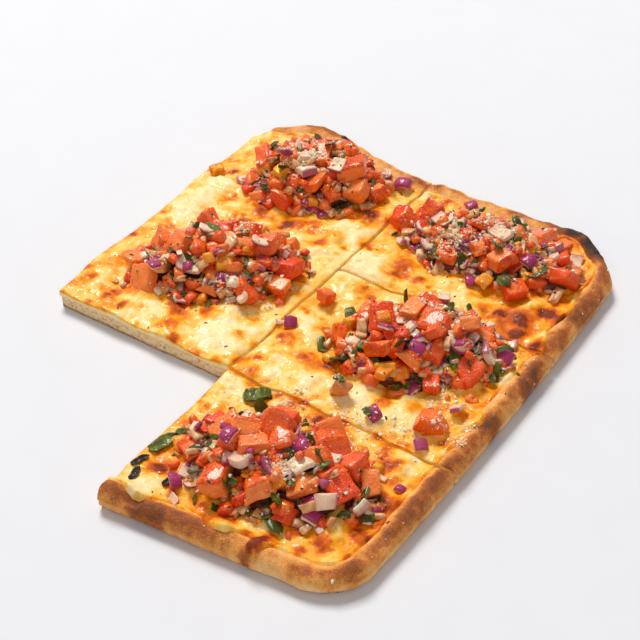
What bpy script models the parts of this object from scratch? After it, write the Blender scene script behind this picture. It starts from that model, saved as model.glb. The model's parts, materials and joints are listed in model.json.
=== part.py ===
"""Bruschetta pizza: a rectangular flatbread cut in two rows, with its front-left slice taken.

Melted cheese lies on the dough, and on the cheese five heaps of diced tomato, red onion and basil,
with single pieces that rolled off them. Blender 4.5, metres, +Z up.
"""

import math

import bmesh
import bpy
import numpy as np
from mathutils import Euler, Matrix, Vector
from mathutils.bvhtree import BVHTree

# Driving dimensions of the flatbread before it was cut
SHEET_WIDTH = 0.2387
SHEET_LENGTH = 0.3025
DOUGH = 0.0080
CHEESE = 0.0024
RIM_CREST = 0.0124
RIM_CREST_IN = 0.0060
RIM_FOOT_IN = 0.0150

# Where the knife went, from the middle of the sheet
LONG_CUT = -0.0090
FRONT_CUT = -0.0493
BACK_CUT = 0.0491
CUT_GAP = 0.0007

# The sheet stands a little off the origin, so that the origin is under the middle of the slices
SHEET_PLACE = (-0.0003, -0.0019, 0.0)

HALF_W = SHEET_WIDTH / 2
HALF_L = SHEET_LENGTH / 2
CLEARANCE = 0.0003
BED_DEPTH = 0.030
TINY = 1e-9
SAME_PLACE = 1e-6

# Corners of the sheet: side along X, side along Y, radius, and power of the curve (2 is round)
CORNERS = (
    (1, -1, 0.024, 2.0),
    (1, 1, 0.031, 1.35),
    (-1, 1, 0.022, 2.0),
)

# The dough's edge below its upper face, as rings of (height, reach outwards)
ROLL = ((0.0066, 0.0014), (0.0044, 0.0004), (0.0030, 0.0008), (0.0, -0.0016))
LIP = ((0.0062, -0.0004), (0.0044, -0.0018), (0.0022, -0.0046), (0.0, -0.0085))
KNIFE = ((0.0062, 0.0), (0.0044, 0.0), (0.0024, 0.0), (0.0, 0.0))

# Where the upper face starts at a rim and at the lip, and how softly two rims meet at a corner
EDGE_TOP = 0.0090
LIP_TOP = 0.0078
MITRE = 0.0015

# Pinches in the rim: side, place along it, reach, and how deep it dips
PINCHES = (
    ("right", 0.0500, 0.0045, 0.0030),
    ("right", 0.0290, 0.0070, 0.0018),
    ("right", -0.0160, 0.0060, 0.0020),
    ("right", -0.0500, 0.0040, 0.0026),
    ("front", 0.0110, 0.0080, 0.0022),
    ("back", -0.0110, 0.0060, 0.0028),
)
# Swellings in the rim: side, place along it, reach, height
SWELLS = (
    ("back", 0.0900, 0.0110, 0.0022),
    ("back", -0.0850, 0.0240, 0.0010),
    ("right", 0.0600, 0.0060, 0.0010),
    ("front", 0.0520, 0.0120, 0.0012),
    ("front", -0.0040, 0.0060, 0.0010),
)

# Slices: name, extent in X and Y on the sheet, and the sides that are the sheet's own edge
SLICES = {
    "left_back": (-HALF_W, LONG_CUT, FRONT_CUT, HALF_L, ("left", "back")),
    "right_back": (LONG_CUT, HALF_W, BACK_CUT, HALF_L, ("right", "back")),
    "right_middle": (LONG_CUT, HALF_W, FRONT_CUT, BACK_CUT, ("right",)),
    "right_front": (LONG_CUT, HALF_W, -HALF_L, FRONT_CUT, ("right", "front")),
}
RIM_LINES = (0.0, 0.0012, 0.0032, 0.0060, 0.0095, 0.0125, RIM_FOOT_IN)
LIP_LINES = (0.0, 0.0014, 0.0040)
CUT_LINES = (0.0, 0.0010, 0.0030)
GRID_STEP = 0.0094

# Diced toppings: least and most of the three sides, as parts of the size, thinnest first
KINDS = {
    "tomato": ((0.50, 0.75, 0.95), (0.70, 0.98, 1.25)),
    "onion": ((0.30, 0.70, 0.90), (0.45, 0.90, 1.20)),
    "pepper": ((0.45, 0.65, 0.85), (0.65, 0.85, 1.15)),
    "garlic": ((0.35, 0.55, 0.90), (0.50, 0.75, 1.30)),
    "cheese": ((0.60, 0.70, 0.75), (0.75, 0.90, 1.00)),
    "basil": ((0.09, 0.40, 0.90), (0.12, 0.55, 1.40)),
}

# Heaps: slice, centre, half axes, turn in degrees, height over the cheese and seed; the pieces
# dropped on them as (kind, how many, smallest and largest size); and those placed by hand on top,
# as (kind, x, y, size)
HEAPS = {
    "left_middle": {
        "slice": "left_back",
        "centre": (-0.0610, 0.0130),
        "reach": (0.0470, 0.0300),
        "turn": 32,
        "height": 0.0205,
        "seed": 11,
        "mix": (
            ("tomato", 24, 0.0095, 0.0160),
            ("onion", 14, 0.0080, 0.0120),
            ("garlic", 14, 0.0080, 0.0115),
            ("pepper", 4, 0.0085, 0.0110),
            ("basil", 9, 0.0090, 0.0140),
        ),
        "set": (
            ("tomato", -0.0985, -0.0110, 0.0140),
            ("tomato", -0.0900, 0.0040, 0.0135),
            ("tomato", -0.0790, 0.0050, 0.0165),
            ("tomato", -0.0660, 0.0270, 0.0170),
            ("tomato", -0.0570, 0.0060, 0.0150),
            ("tomato", -0.0480, 0.0180, 0.0150),
            ("tomato", -0.0270, 0.0280, 0.0180),
            ("pepper", -0.0500, 0.0030, 0.0115),
            ("onion", -0.0650, -0.0060, 0.0130),
            ("garlic", -0.0800, -0.0120, 0.0140),
        ),
    },
    "left_back": {
        "slice": "left_back",
        "centre": (-0.0620, 0.1070),
        "reach": (0.0400, 0.0300),
        "turn": 20,
        "height": 0.0210,
        "seed": 23,
        "mix": (
            ("tomato", 22, 0.0100, 0.0165),
            ("onion", 12, 0.0075, 0.0115),
            ("garlic", 8, 0.0070, 0.0100),
            ("pepper", 4, 0.0085, 0.0120),
            ("basil", 10, 0.0090, 0.0150),
        ),
        "set": (
            ("tomato", -0.0900, 0.0990, 0.0170),
            ("pepper", -0.0880, 0.0930, 0.0130),
            ("tomato", -0.0535, 0.0920, 0.0140),
            ("tomato", -0.0340, 0.1030, 0.0170),
            ("tomato", -0.0620, 0.1090, 0.0180),
            ("tomato", -0.0530, 0.1200, 0.0150),
            ("onion", -0.0720, 0.1080, 0.0120),
            ("basil", -0.0550, 0.1310, 0.0190),
        ),
    },
    "right_back": {
        "slice": "right_back",
        "centre": (0.0515, 0.1050),
        "reach": (0.0550, 0.0290),
        "turn": 5,
        "height": 0.0165,
        "seed": 35,
        "mix": (
            ("tomato", 18, 0.0090, 0.0150),
            ("onion", 20, 0.0075, 0.0115),
            ("garlic", 22, 0.0070, 0.0105),
            ("pepper", 4, 0.0080, 0.0100),
            ("basil", 18, 0.0080, 0.0130),
        ),
        "set": (
            ("tomato", 0.0030, 0.0990, 0.0160),
            ("tomato", 0.0100, 0.1100, 0.0150),
            ("tomato", 0.0730, 0.1220, 0.0160),
            ("tomato", 0.0800, 0.0800, 0.0135),
            ("tomato", 0.0980, 0.1020, 0.0150),
            ("onion", 0.0820, 0.1180, 0.0120),
            ("onion", 0.0780, 0.0990, 0.0100),
        ),
    },
    "right_middle": {
        "slice": "right_middle",
        "centre": (0.0620, 0.0150),
        "reach": (0.0460, 0.0310),
        "turn": 25,
        "height": 0.0200,
        "seed": 47,
        "mix": (
            ("tomato", 22, 0.0090, 0.0160),
            ("onion", 18, 0.0080, 0.0125),
            ("garlic", 15, 0.0075, 0.0110),
            ("pepper", 3, 0.0085, 0.0105),
            ("basil", 12, 0.0080, 0.0130),
        ),
        "set": (
            ("tomato", 0.0260, 0.0000, 0.0125),
            ("tomato", 0.0670, 0.0180, 0.0165),
            ("tomato", 0.0520, 0.0340, 0.0160),
            ("tomato", 0.0940, 0.0100, 0.0160),
            ("tomato", 0.0820, -0.0060, 0.0120),
            ("pepper", 0.0610, -0.0120, 0.0130),
            ("onion", 0.0850, 0.0160, 0.0130),
            ("onion", 0.0970, 0.0250, 0.0125),
        ),
    },
    "right_front": {
        "slice": "right_front",
        "centre": (0.0545, -0.0965),
        "reach": (0.0490, 0.0320),
        "turn": 10,
        "height": 0.0195,
        "seed": 59,
        "mix": (
            ("tomato", 26, 0.0110, 0.0175),
            ("onion", 14, 0.0080, 0.0125),
            ("garlic", 10, 0.0070, 0.0100),
            ("pepper", 3, 0.0085, 0.0105),
            ("basil", 12, 0.0085, 0.0140),
        ),
        "set": (
            ("tomato", 0.0240, -0.0950, 0.0180),
            ("tomato", 0.0365, -0.1200, 0.0175),
            ("tomato", 0.0570, -0.1160, 0.0165),
            ("tomato", 0.0740, -0.1080, 0.0165),
            ("tomato", 0.0900, -0.0980, 0.0165),
            ("tomato", 0.0840, -0.0820, 0.0180),
            ("tomato", 0.0545, -0.0975, 0.0195),
            ("tomato", 0.0700, -0.0920, 0.0190),
            ("onion", 0.0850, -0.1130, 0.0125),
        ),
    },
}
CORE_SPREAD = 0.88
CORE_SHARE = 0.66
DROP_TRIES = 14
PACKING = 0.86
SET_DEPTH = 0.86
MOST_OVER = 0.0035
LEAST_FUSED = 0.0085
MOST_FUSED = 18

# Single pieces beside the heaps: kind, slice, place, size and turn about Z in degrees
LOOSE = {
    "tomato_by_middle": ("tomato", "right_middle", (0.0965, -0.0300), 0.0170, 20),
    "onion_by_middle": ("onion", "right_middle", (0.1020, -0.0130), 0.0090, 70),
    "onion_by_rim": ("onion", "right_middle", (0.1000, -0.0440), 0.0085, 10),
    "garlic_by_middle": ("garlic", "right_middle", (0.0478, -0.0345), 0.0130, 35),
    "onion_by_cut": ("onion", "right_middle", (0.0712, -0.0410), 0.0090, 10),
    "tomato_beside_cut": ("tomato", "right_middle", (0.0010, 0.0225), 0.0110, 50),
    "onion_beside_cut": ("onion", "right_middle", (-0.0020, -0.0055), 0.0080, 15),
    "onion_by_back": ("onion", "left_back", (-0.0200, 0.1310), 0.0095, 110),
    "onion_between": ("onion", "right_back", (0.0510, 0.0575), 0.0090, 60),
    "cheese_lump": ("cheese", "left_back", (-0.1155, 0.0840), 0.0100, 40),
}
# Leaf pieces lying flat: slice, place, length, width, turn in degrees
LEAVES = {
    "basil_leaf": ("right_front", (-0.0030, -0.1100), 0.0170, 0.0068, 72),
    "basil_leaf_by_heap": ("right_front", (0.0150, -0.0580), 0.0140, 0.0105, 20),
    "charred_basil_1": ("right_front", (-0.0045, -0.1260), 0.0105, 0.0034, 72),
    "charred_basil_2": ("right_front", (-0.0010, -0.1345), 0.0085, 0.0036, 88),
    "charred_basil_3": ("right_front", (0.0150, -0.1300), 0.0060, 0.0034, 64),
}
LEAF_THICKNESS = 0.0008

# Colours and roughness
FINISHES = {
    "dough": ((0.62, 0.33, 0.11), 0.6),
    "cheese": ((0.85, 0.58, 0.20), 0.4),
    "bruschetta": ((0.66, 0.13, 0.04), 0.35),
    "tomato": ((0.75, 0.12, 0.03), 0.3),
    "onion": ((0.62, 0.45, 0.50), 0.35),
    "garlic": ((0.70, 0.52, 0.33), 0.4),
    "basil": ((0.05, 0.13, 0.03), 0.45),
    "charred_basil": ((0.03, 0.03, 0.03), 0.6),
}


def fade(t):
    """A smooth step from 0 to 1."""
    t = np.clip(t, 0.0, 1.0)
    return t * t * (3.0 - 2.0 * t)


def hump(t, middle, reach):
    """A smooth hump of height 1."""
    return np.exp(-(((t - middle) / reach) ** 2))


def waves(x, y, span, seed):
    """Smooth unevenness of about -1 to 1, with its hollows about span apart."""
    rng = np.random.default_rng(seed)
    total = 0.0
    for _ in range(5):
        turn, phase = rng.uniform(0.0, 2.0 * math.pi, 2)
        pitch = 2.0 * math.pi / (span * rng.uniform(0.7, 1.4))
        along = x * math.cos(turn) + y * math.sin(turn)
        total = total + np.sin(pitch * along + phase)
    return total / 2.5


def place(a, b):
    """Plan position of a point of the sheet: corners rounded, edges as uneven as they baked."""
    for side_a, side_b, radius, power in CORNERS:
        over_a = np.maximum(side_a * a - (HALF_W - radius), 0.0)
        over_b = np.maximum(side_b * b - (HALF_L - radius), 0.0)
        length = (over_a**power + over_b**power) ** (1.0 / power)
        pull = np.maximum(over_a, over_b) / np.maximum(length, TINY)
        pull = np.where(length > TINY, pull - 1.0, 0.0)
        a = a + side_a * over_a * pull
        b = b + side_b * over_b * pull
    right = 0.0028 - 0.0061 * ((b + 0.070) / 0.196) ** 2
    left = -0.0012 - 0.0024 * hump(b, -0.008, 0.022) - 0.0024 * hump(b, 0.078, 0.028)
    front = -0.0021 + 0.0906 * (a - LONG_CUT)
    back = -0.0051 + 0.036 * a + 0.0141 * hump(a, -0.083, 0.032)
    x = a + right * fade((a - LONG_CUT) / (HALF_W - LONG_CUT))
    x = x + left * fade((LONG_CUT - a) / (HALF_W + LONG_CUT))
    y = b + front * fade((FRONT_CUT - b) / (HALF_L + FRONT_CUT))
    y = y + back * fade((b - BACK_CUT) / (HALF_L - BACK_CUT))
    return x, y


def edge_distances(a, b):
    """Distance of a point of the sheet from each of its sides, and the place along that side."""
    return {
        "left": (HALF_W + a, b),
        "right": (HALF_W - a, b),
        "front": (HALF_L + b, a),
        "back": (HALF_L - b, a),
    }


def rim_height(side, along):
    """Height of the rim's crest along one side."""
    crest = RIM_CREST + 0.0007 * waves(along, 0.0 * along, 0.034, 71 + len(side))
    crest = crest + 0.0003 * waves(along, 0.0 * along, 0.013, 81 + len(side))
    for where, middle, reach, depth in PINCHES:
        if where == side:
            crest = crest - depth * hump(along, middle, reach)
    for where, middle, reach, height in SWELLS:
        if where == side:
            crest = crest + height * hump(along, middle, reach)
    return crest


def roll_share(b, start, run):
    """How much of the rim's roll the left side has: none, but where the back rim comes round to it."""
    return fade((b - (HALF_L - start)) / run)


def dough_top(a, b):
    """Height of the dough's upper face."""
    sides = edge_distances(a, b)
    nearest = np.minimum.reduce([inward for inward, _ in sides.values()])
    top = 0.0
    weights = 0.0
    for side, (inward, along) in sides.items():
        crest = rim_height(side, along)
        edge = EDGE_TOP
        if side == "left":
            share = roll_share(b, 0.0145, 0.0110)
            crest = DOUGH + share * (crest - DOUGH)
            edge = LIP_TOP + share * (EDGE_TOP - LIP_TOP)
        rise = np.clip(inward / RIM_CREST_IN, 0.0, 1.0)
        outer = edge + (crest - edge) * np.sqrt(1.0 - (1.0 - rise) ** 2)
        fall = fade((inward - RIM_CREST_IN) / (RIM_FOOT_IN - RIM_CREST_IN))
        height = np.where(inward < RIM_CREST_IN, outer, crest + (DOUGH - crest) * fall)
        weight = np.exp((nearest - inward) / MITRE)
        top = top + weight * height
        weights = weights + weight
    return top / weights


def rim_distance(a, b):
    """Distance of a point of the sheet from the nearest side that has a rim."""
    return np.minimum(HALF_W - a, np.minimum(HALF_L + b, HALF_L - b))


def cut_distance(slice_name, a, b):
    """Distance of a point of the sheet from the slice's nearest cut edge, or from the left lip."""
    a0, a1, b0, b1, edges = SLICES[slice_name]
    sides = {"left": a - a0, "right": a1 - a, "front": b - b0, "back": b1 - b}
    open_sides = [sides[side] for side in sides if side not in edges or side == "left"]
    return np.minimum.reduce(open_sides)


def cheese_top(slice_name, a, b):
    """Height of the cheese's upper face: mounds and valleys, thin at the rim, rounded at a cut."""
    mounds = 0.0009 * waves(a, b, 0.030, 3) + 0.0004 * waves(a, b, 0.016, 4)
    thick = CHEESE + mounds
    thick = thick * (0.30 + 0.70 * fade((rim_distance(a, b) - RIM_FOOT_IN) / 0.008))
    droop = np.clip(cut_distance(slice_name, a, b) / 0.0032, 0.0, 1.0)
    thick = thick * (0.45 + 0.55 * np.sqrt(1.0 - (1.0 - droop) ** 2))
    return DOUGH + CLEARANCE + thick


def spaced(start, end, step):
    """Evenly spaced lines from start to end, about a step apart."""
    count = max(2, round((end - start) / step))
    return list(np.linspace(start, end, count + 1))


def slice_lines(slice_name, rim):
    """The lines of a slice's grid along X and Y, closer together at its edges.

    With rim they run out over the rim, and otherwise they stop at its foot."""
    a0, a1, b0, b1, edges = SLICES[slice_name]
    lines = []
    for start, end, low, high in ((a0, a1, "left", "right"), (b0, b1, "front", "back")):
        ends = []
        for corner, side, inward in ((start, low, 1), (end, high, -1)):
            if side not in edges:
                corner = corner + inward * CUT_GAP
                offsets = CUT_LINES
            elif side == "left":
                offsets = LIP_LINES if rim else (0.0008, 0.0018, LIP_LINES[-1])
            elif rim:
                offsets = RIM_LINES
            else:
                offsets = RIM_LINES[-1:]
            ends.append([corner + inward * offset for offset in offsets])
        middle = spaced(ends[0][-1], ends[1][-1], GRID_STEP)
        lines.append(ends[0][:-1] + middle + ends[1][:-1][::-1])
    return lines


def mesh_object(name, bm, collection, finish=None):
    """Ends a bmesh as a named object with its own material."""
    bmesh.ops.recalc_face_normals(bm, faces=bm.faces[:])
    if bm.calc_volume(signed=True) < 0.0:
        bmesh.ops.reverse_faces(bm, faces=bm.faces[:])
    mesh = bpy.data.meshes.new(name)
    bm.to_mesh(mesh)
    bm.free()
    obj = bpy.data.objects.new(name, mesh)
    collection.objects.link(obj)
    if finish:
        mesh.materials.append(finish_material(finish))
        mesh.shade_smooth()
        mesh.set_sharp_from_angle(angle=math.radians(40))
    return obj


def finish_material(finish):
    """The Principled material of one finish, made once."""
    if finish in bpy.data.materials:
        return bpy.data.materials[finish]
    colour, roughness = FINISHES[finish]
    material = bpy.data.materials.new(finish)
    material.use_nodes = True
    shader = material.node_tree.nodes["Principled BSDF"]
    shader.inputs["Base Color"].default_value = (*colour, 1.0)
    shader.inputs["Roughness"].default_value = roughness
    shader.inputs["Metallic"].default_value = 0.0
    return material


def slab(a_lines, b_lines, rings, shape):
    """A closed sheet: a grid for its upper face, rings down its edge and one face below.

    shape gives the position of a point from its place on the sheet and its ring, 0 for the grid."""
    bm = bmesh.new()
    columns = len(a_lines) - 1
    rows = len(b_lines) - 1
    bmesh.ops.create_grid(bm, x_segments=columns, y_segments=rows, size=1.0)
    for vert in bm.verts:
        a = a_lines[round((vert.co.x + 1.0) / 2.0 * columns)]
        b = b_lines[round((vert.co.y + 1.0) / 2.0 * rows)]
        vert.co = (a, b, 0.0)
    for ring in range(1, rings + 1):
        border = [edge for edge in bm.edges if edge.is_boundary]
        grown = bmesh.ops.extrude_edge_only(bm, edges=border)["geom"]
        for item in grown:
            if isinstance(item, bmesh.types.BMVert):
                item.co.z = ring
    border = [edge for edge in bm.edges if edge.is_boundary]
    bmesh.ops.holes_fill(bm, edges=border, sides=0)
    points = np.array([vert.co for vert in bm.verts])
    for vert, moved in zip(bm.verts, shape(*points.T)):
        vert.co = moved
    bmesh.ops.triangulate(bm, faces=bm.faces[:])
    return bm


def dough_shape(slice_name, a_lines, b_lines):
    """The function that places the points of a slice's dough."""
    edges = SLICES[slice_name][4]
    borders = (
        ("left", a_lines[0], -1.0),
        ("right", a_lines[-1], 1.0),
        ("front", b_lines[0], -1.0),
        ("back", b_lines[-1], 1.0),
    )

    def shape(a, b, ring):
        ring = np.round(ring).astype(int)
        z = np.array([0.0] + [height for height, _ in KNIFE])[ring]
        out_a = np.zeros_like(a)
        out_b = np.zeros_like(b)
        for side, border, outward in borders:
            if side not in edges:
                continue
            heights, reaches = np.array(((0.0, 0.0), *ROLL)).T[:, ring]
            if side == "left":
                share = roll_share(b, 0.036, 0.026)
                low, back = np.array(((0.0, 0.0), *LIP)).T[:, ring]
                heights = low + share * (heights - low)
                reaches = back + share * (reaches - back)
            across = a if side in ("left", "right") else b
            on_side = np.abs(across - border) < SAME_PLACE
            z = np.where(on_side, heights, z)
            grown = np.where(on_side, outward * reaches, 0.0)
            if side in ("left", "right"):
                out_a = out_a + grown
            else:
                out_b = out_b + grown
        x, y = place(a + out_a, b + out_b)
        return np.column_stack((x, y, np.where(ring == 0, dough_top(a, b), z)))

    return shape


def cheese_shape(slice_name):
    """The function that places the points of a slice's cheese."""

    def shape(a, b, ring):
        x, y = place(a, b)
        underside = DOUGH + CLEARANCE
        return np.column_stack((x, y, np.where(ring < 0.5, cheese_top(slice_name, a, b), underside)))

    return shape


def add_dough(slice_name, collection):
    """One slice of the flatbread."""
    a_lines, b_lines = slice_lines(slice_name, rim=True)
    shape = dough_shape(slice_name, a_lines, b_lines)
    bm = slab(a_lines, b_lines, len(KNIFE), shape)
    return mesh_object("dough_" + slice_name, bm, collection, "dough")


def add_cheese(slice_name, collection):
    """The cheese on one slice."""
    a_lines, b_lines = slice_lines(slice_name, rim=False)
    bm = slab(a_lines, b_lines, 1, cheese_shape(slice_name))
    return mesh_object("cheese_" + slice_name, bm, collection, "cheese")


def add_bed(piece, collection):
    """A copy of a piece, larger by the clearance, that shapes the underside of what lies on it."""
    bed = piece.copy()
    bed.data = piece.data.copy()
    bed.name = piece.name + "_bed"
    points = np.array([vert.co for vert in bed.data.vertices])
    low, high = points.min(axis=0), points.max(axis=0)
    grow = 1.0 + 2.0 * CLEARANCE / (high - low)
    points[:, :2] = ((points - (low + high) / 2.0) * grow + (low + high) / 2.0)[:, :2]
    underside = points[:, 2] < low[2] + SAME_PLACE
    points[:, 2] = np.where(underside, -BED_DEPTH, points[:, 2] + CLEARANCE)
    for vert, moved in zip(bed.data.vertices, points):
        vert.co = moved
    collection.objects.link(bed)
    bed.hide_render = True
    bed.display_type = "WIRE"
    return bed


def heap_point(heap, u, v):
    """Plan position from a place on the heap's own axes, where 1 is its outline."""
    turn = math.radians(heap["turn"])
    along = heap["reach"][0] * u
    across = heap["reach"][1] * v
    x = heap["centre"][0] + along * math.cos(turn) - across * math.sin(turn)
    y = heap["centre"][1] + along * math.sin(turn) + across * math.cos(turn)
    return x, y


def heap_share(heap, x, y):
    """How far out a plan position lies on the heap's own axes, where 1 is its outline."""
    turn = math.radians(heap["turn"])
    dx = x - heap["centre"][0]
    dy = y - heap["centre"][1]
    along = dx * math.cos(turn) + dy * math.sin(turn)
    across = dy * math.cos(turn) - dx * math.sin(turn)
    return math.hypot(along / heap["reach"][0], across / heap["reach"][1])


def rest_height(rested, x, y, radius):
    """Height at which a dropped piece comes to rest on the cheese or on the pieces before it."""
    z = DOUGH + CLEARANCE + CHEESE + 0.8 * radius
    apart = np.hypot(rested[:, 0] - x, rested[:, 1] - y)
    touch = PACKING * (rested[:, 3] + radius)
    over = touch > apart
    if over.any():
        stand = np.sqrt(np.maximum(touch**2 - apart**2, 0.0))
        z = max(z, float((rested[:, 2] + stand)[over].max()))
    return z


def dome_height(heap, far):
    """Height of the dome that a heap fills, over the cheese, at a share of its outline."""
    return heap["height"] * (1.0 - min(far, 1.0) ** 2.4)


def pile(heap):
    """Where the pieces of a heap lie, as (kind, x, y, z, size).

    Those placed by hand come first, in the dome's surface. The rest drop one by one: each is tried
    at several places of the outline and stays at the one where it lies lowest against the dome."""
    rng = np.random.default_rng(heap["seed"])
    order = []
    for kind, count, smallest, largest in heap["mix"]:
        for _ in range(count):
            order.append((kind, rng.uniform(smallest, largest)))
    order = [order[number] for number in rng.permutation(len(order))]
    ground = DOUGH + CLEARANCE + CHEESE
    a0, a1, b0, b1, _ = SLICES[heap["slice"]]
    placed = []
    rested = []
    for kind, x, y, size in heap["set"]:
        dome = dome_height(heap, heap_share(heap, x, y))
        z = ground + max(SET_DEPTH * dome, 0.35 * size)
        placed.append((kind, x, y, z, size))
        rested.append((x, y, z, 0.40 * size))
    for kind, size in order:
        radius = size * (0.24 if kind == "basil" else 0.40)
        best = None
        for _ in range(DROP_TRIES):
            far = 0.95 * math.sqrt(rng.uniform())
            turn = rng.uniform(0.0, 2.0 * math.pi)
            x, y = heap_point(heap, far * math.cos(turn), far * math.sin(turn))
            x = float(np.clip(x, a0 + 0.65 * size, a1 - 0.65 * size))
            y = float(np.clip(y, b0 + 0.65 * size, b1 - 0.65 * size))
            z = rest_height(np.array(rested), x, y, radius)
            over = z - ground - dome_height(heap, far)
            if best is None or over < best[0]:
                best = (over, x, y, z)
        over, x, y, z = best
        if over < MOST_OVER:
            placed.append((kind, x, y, z, size))
            rested.append((x, y, z, radius))
    return placed


def chunk_corners(kind, size, seed):
    """The eight corners of one diced piece about its middle, as it lies turned."""
    rng = np.random.default_rng(seed)
    low, high = KINDS[kind]
    sides = size * rng.uniform(low, high)[::-1]
    tilt = 0.55 if kind == "basil" else 0.42
    turn = Euler((rng.normal(0.0, tilt), rng.normal(0.0, tilt), rng.uniform(0.0, 2.0 * math.pi)))
    corners = []
    for corner in range(8):
        signs = np.array([1 if corner >> axis & 1 else -1 for axis in range(3)])
        jitter = 1.0 + rng.uniform(-0.20, 0.20, 3)
        corners.append(turn.to_matrix() @ Vector(signs * sides * jitter / 2.0))
    return corners


def add_chunk(name, corners, middle, collection, finish=None):
    """A diced piece: the hull of its eight corners."""
    bm = bmesh.new()
    for corner in corners:
        bm.verts.new(corner + Vector(middle))
    hull = bmesh.ops.convex_hull(bm, input=bm.verts[:])
    inside = [item for item in hull["geom_interior"] if isinstance(item, bmesh.types.BMVert)]
    bmesh.ops.delete(bm, geom=inside, context="VERTS")
    return mesh_object(name, bm, collection, finish)


def outermost(heap, placed):
    """The numbers of the pieces that show most: those placed by hand, then the outer shell."""
    by_hand = list(range(len(heap["set"])))
    ranked = []
    for number, (kind, x, y, z, size) in enumerate(placed):
        if number in by_hand or kind == "basil" or size < LEAST_FUSED:
            continue
        lift = (z - DOUGH) / heap["height"]
        ranked.append((math.hypot(heap_share(heap, x, y), lift), number))
    shell = [number for _, number in sorted(ranked, reverse=True)[:MOST_FUSED]]
    return shell + by_hand


def apply_modifiers(obj):
    """Replaces an object's mesh by what its modifiers make of it."""
    graph = bpy.context.evaluated_depsgraph_get()
    old = obj.data
    finished = bpy.data.meshes.new_from_object(obj.evaluated_get(graph))
    obj.modifiers.clear()
    obj.data = finished
    finished.name = obj.name
    bpy.data.meshes.remove(old)


def room_of(verts):
    """Volume of the box round some vertices."""
    points = np.array([vert.co for vert in verts])
    return float(np.prod(points.max(axis=0) - points.min(axis=0)))


def drop_scraps(obj):
    """Keeps the largest body of a mesh, without what a cut left loose beside it."""
    bm = bmesh.new()
    bm.from_mesh(obj.data)
    left = set(bm.verts)
    bodies = []
    while left:
        body = {left.pop()}
        edge_of_body = list(body)
        while edge_of_body:
            vert = edge_of_body.pop()
            for edge in vert.link_edges:
                other = edge.other_vert(vert)
                if other in left:
                    left.remove(other)
                    body.add(other)
                    edge_of_body.append(other)
        bodies.append(body)
    bodies.sort(key=room_of, reverse=True)
    for body in bodies[1:]:
        bmesh.ops.delete(bm, geom=list(body), context="VERTS")
    bm.to_mesh(obj.data)
    bm.free()


def fuse(obj, collection):
    """Joins every object of a collection to this one, and removes them."""
    union = obj.modifiers.new("fuse", "BOOLEAN")
    union.operation = "UNION"
    union.operand_type = "COLLECTION"
    union.collection = collection
    union.solver = "MANIFOLD"
    apply_modifiers(obj)
    for piece in list(collection.objects):
        bpy.data.objects.remove(piece)
    bpy.data.collections.remove(collection)


def bed_down(obj, beds):
    """Takes from a topping what would sink into the cheese and dough under it."""
    for bed in beds:
        cut = obj.modifiers.new("bed", "BOOLEAN")
        cut.operation = "DIFFERENCE"
        cut.object = bed
        cut.solver = "MANIFOLD"
    apply_modifiers(obj)
    drop_scraps(obj)


def add_heap(heap_name, heap, beds, collection, cutters):
    """A heap of bruschetta: a mound with the pieces that show fused on it."""
    bm = bmesh.new()
    bmesh.ops.create_icosphere(bm, subdivisions=2, radius=1.0)
    ground = DOUGH + CLEARANCE
    for vert in bm.verts:
        x, y, z = vert.co
        uneven = 1.0 + 0.10 * float(waves(x, y, 1.3, heap["seed"]))
        x, y = heap_point(heap, CORE_SPREAD * uneven * x, CORE_SPREAD * uneven * y)
        vert.co = (x, y, ground + (CHEESE + CORE_SHARE * heap["height"]) * z)
    core = mesh_object("bruschetta_" + heap_name, bm, collection, "bruschetta")
    pieces = bpy.data.collections.new(heap_name + "_pieces")
    cutters.children.link(pieces)
    placed = pile(heap)
    for number in outermost(heap, placed):
        kind, x, y, z, size = placed[number]
        corners = chunk_corners(kind, size, (heap["seed"], number))
        add_chunk(f"{heap_name}_{number}", corners, (x, y, z), pieces)
    fuse(core, pieces)
    bed_down(core, beds)
    return core


def add_loose(name, row, number, collection):
    """A single diced piece on the cheese."""
    kind, slice_name, (x, y), size, turn = row
    corners = chunk_corners(kind, size, (900, number))
    spin = Matrix.Rotation(math.radians(turn), 3, "Z")
    corners = [spin @ corner for corner in corners]
    lowest = min(corner.z for corner in corners)
    z = DOUGH + CHEESE - lowest - 0.0006
    return add_chunk(name, corners, (x, y, z), collection, kind)


def add_leaf(name, row, number, beds, collection):
    """A leaf piece: a thin wavy blade with pointed ends, draped on the cheese."""
    _, (x, y), length, width, turn = row
    graph = bpy.context.evaluated_depsgraph_get()
    grounds = [BVHTree.FromObject(bed, graph) for bed in beds]
    spin = Matrix.Rotation(math.radians(turn), 3, "Z")
    bm = bmesh.new()
    bmesh.ops.create_grid(bm, x_segments=6, y_segments=2, size=0.5)
    for vert in bm.verts:
        u, v, _ = vert.co
        taper = 0.35 + 0.65 * math.sqrt(max(0.0, 1.0 - (2.0 * abs(u + 0.06)) ** 2.4))
        bend = 0.12 * width * math.sin(5.0 * u)
        flat = spin @ Vector((u * length, v * width * taper + bend, 0.0)) + Vector((x, y, 0.05))
        hits = [ground.ray_cast(flat, (0.0, 0.0, -1.0))[0] for ground in grounds]
        top = max((hit.z for hit in hits if hit), default=DOUGH + CHEESE)
        curl = 0.22 * width * (2.0 * v) ** 2 + 0.08 * width * (1.0 + math.sin(9.0 * u + number))
        vert.co = (flat.x, flat.y, top + LEAF_THICKNESS + curl)
    bmesh.ops.triangulate(bm, faces=bm.faces[:])
    finish = "charred_basil" if name.startswith("charred") else "basil"
    leaf = mesh_object(name, bm, collection, finish)
    blade = leaf.modifiers.new("thickness", "SOLIDIFY")
    blade.thickness = LEAF_THICKNESS
    blade.offset = 0.0
    return leaf


def clear_scene():
    """Removes every object of the scene."""
    for obj in list(bpy.data.objects):
        bpy.data.objects.remove(obj)


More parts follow.
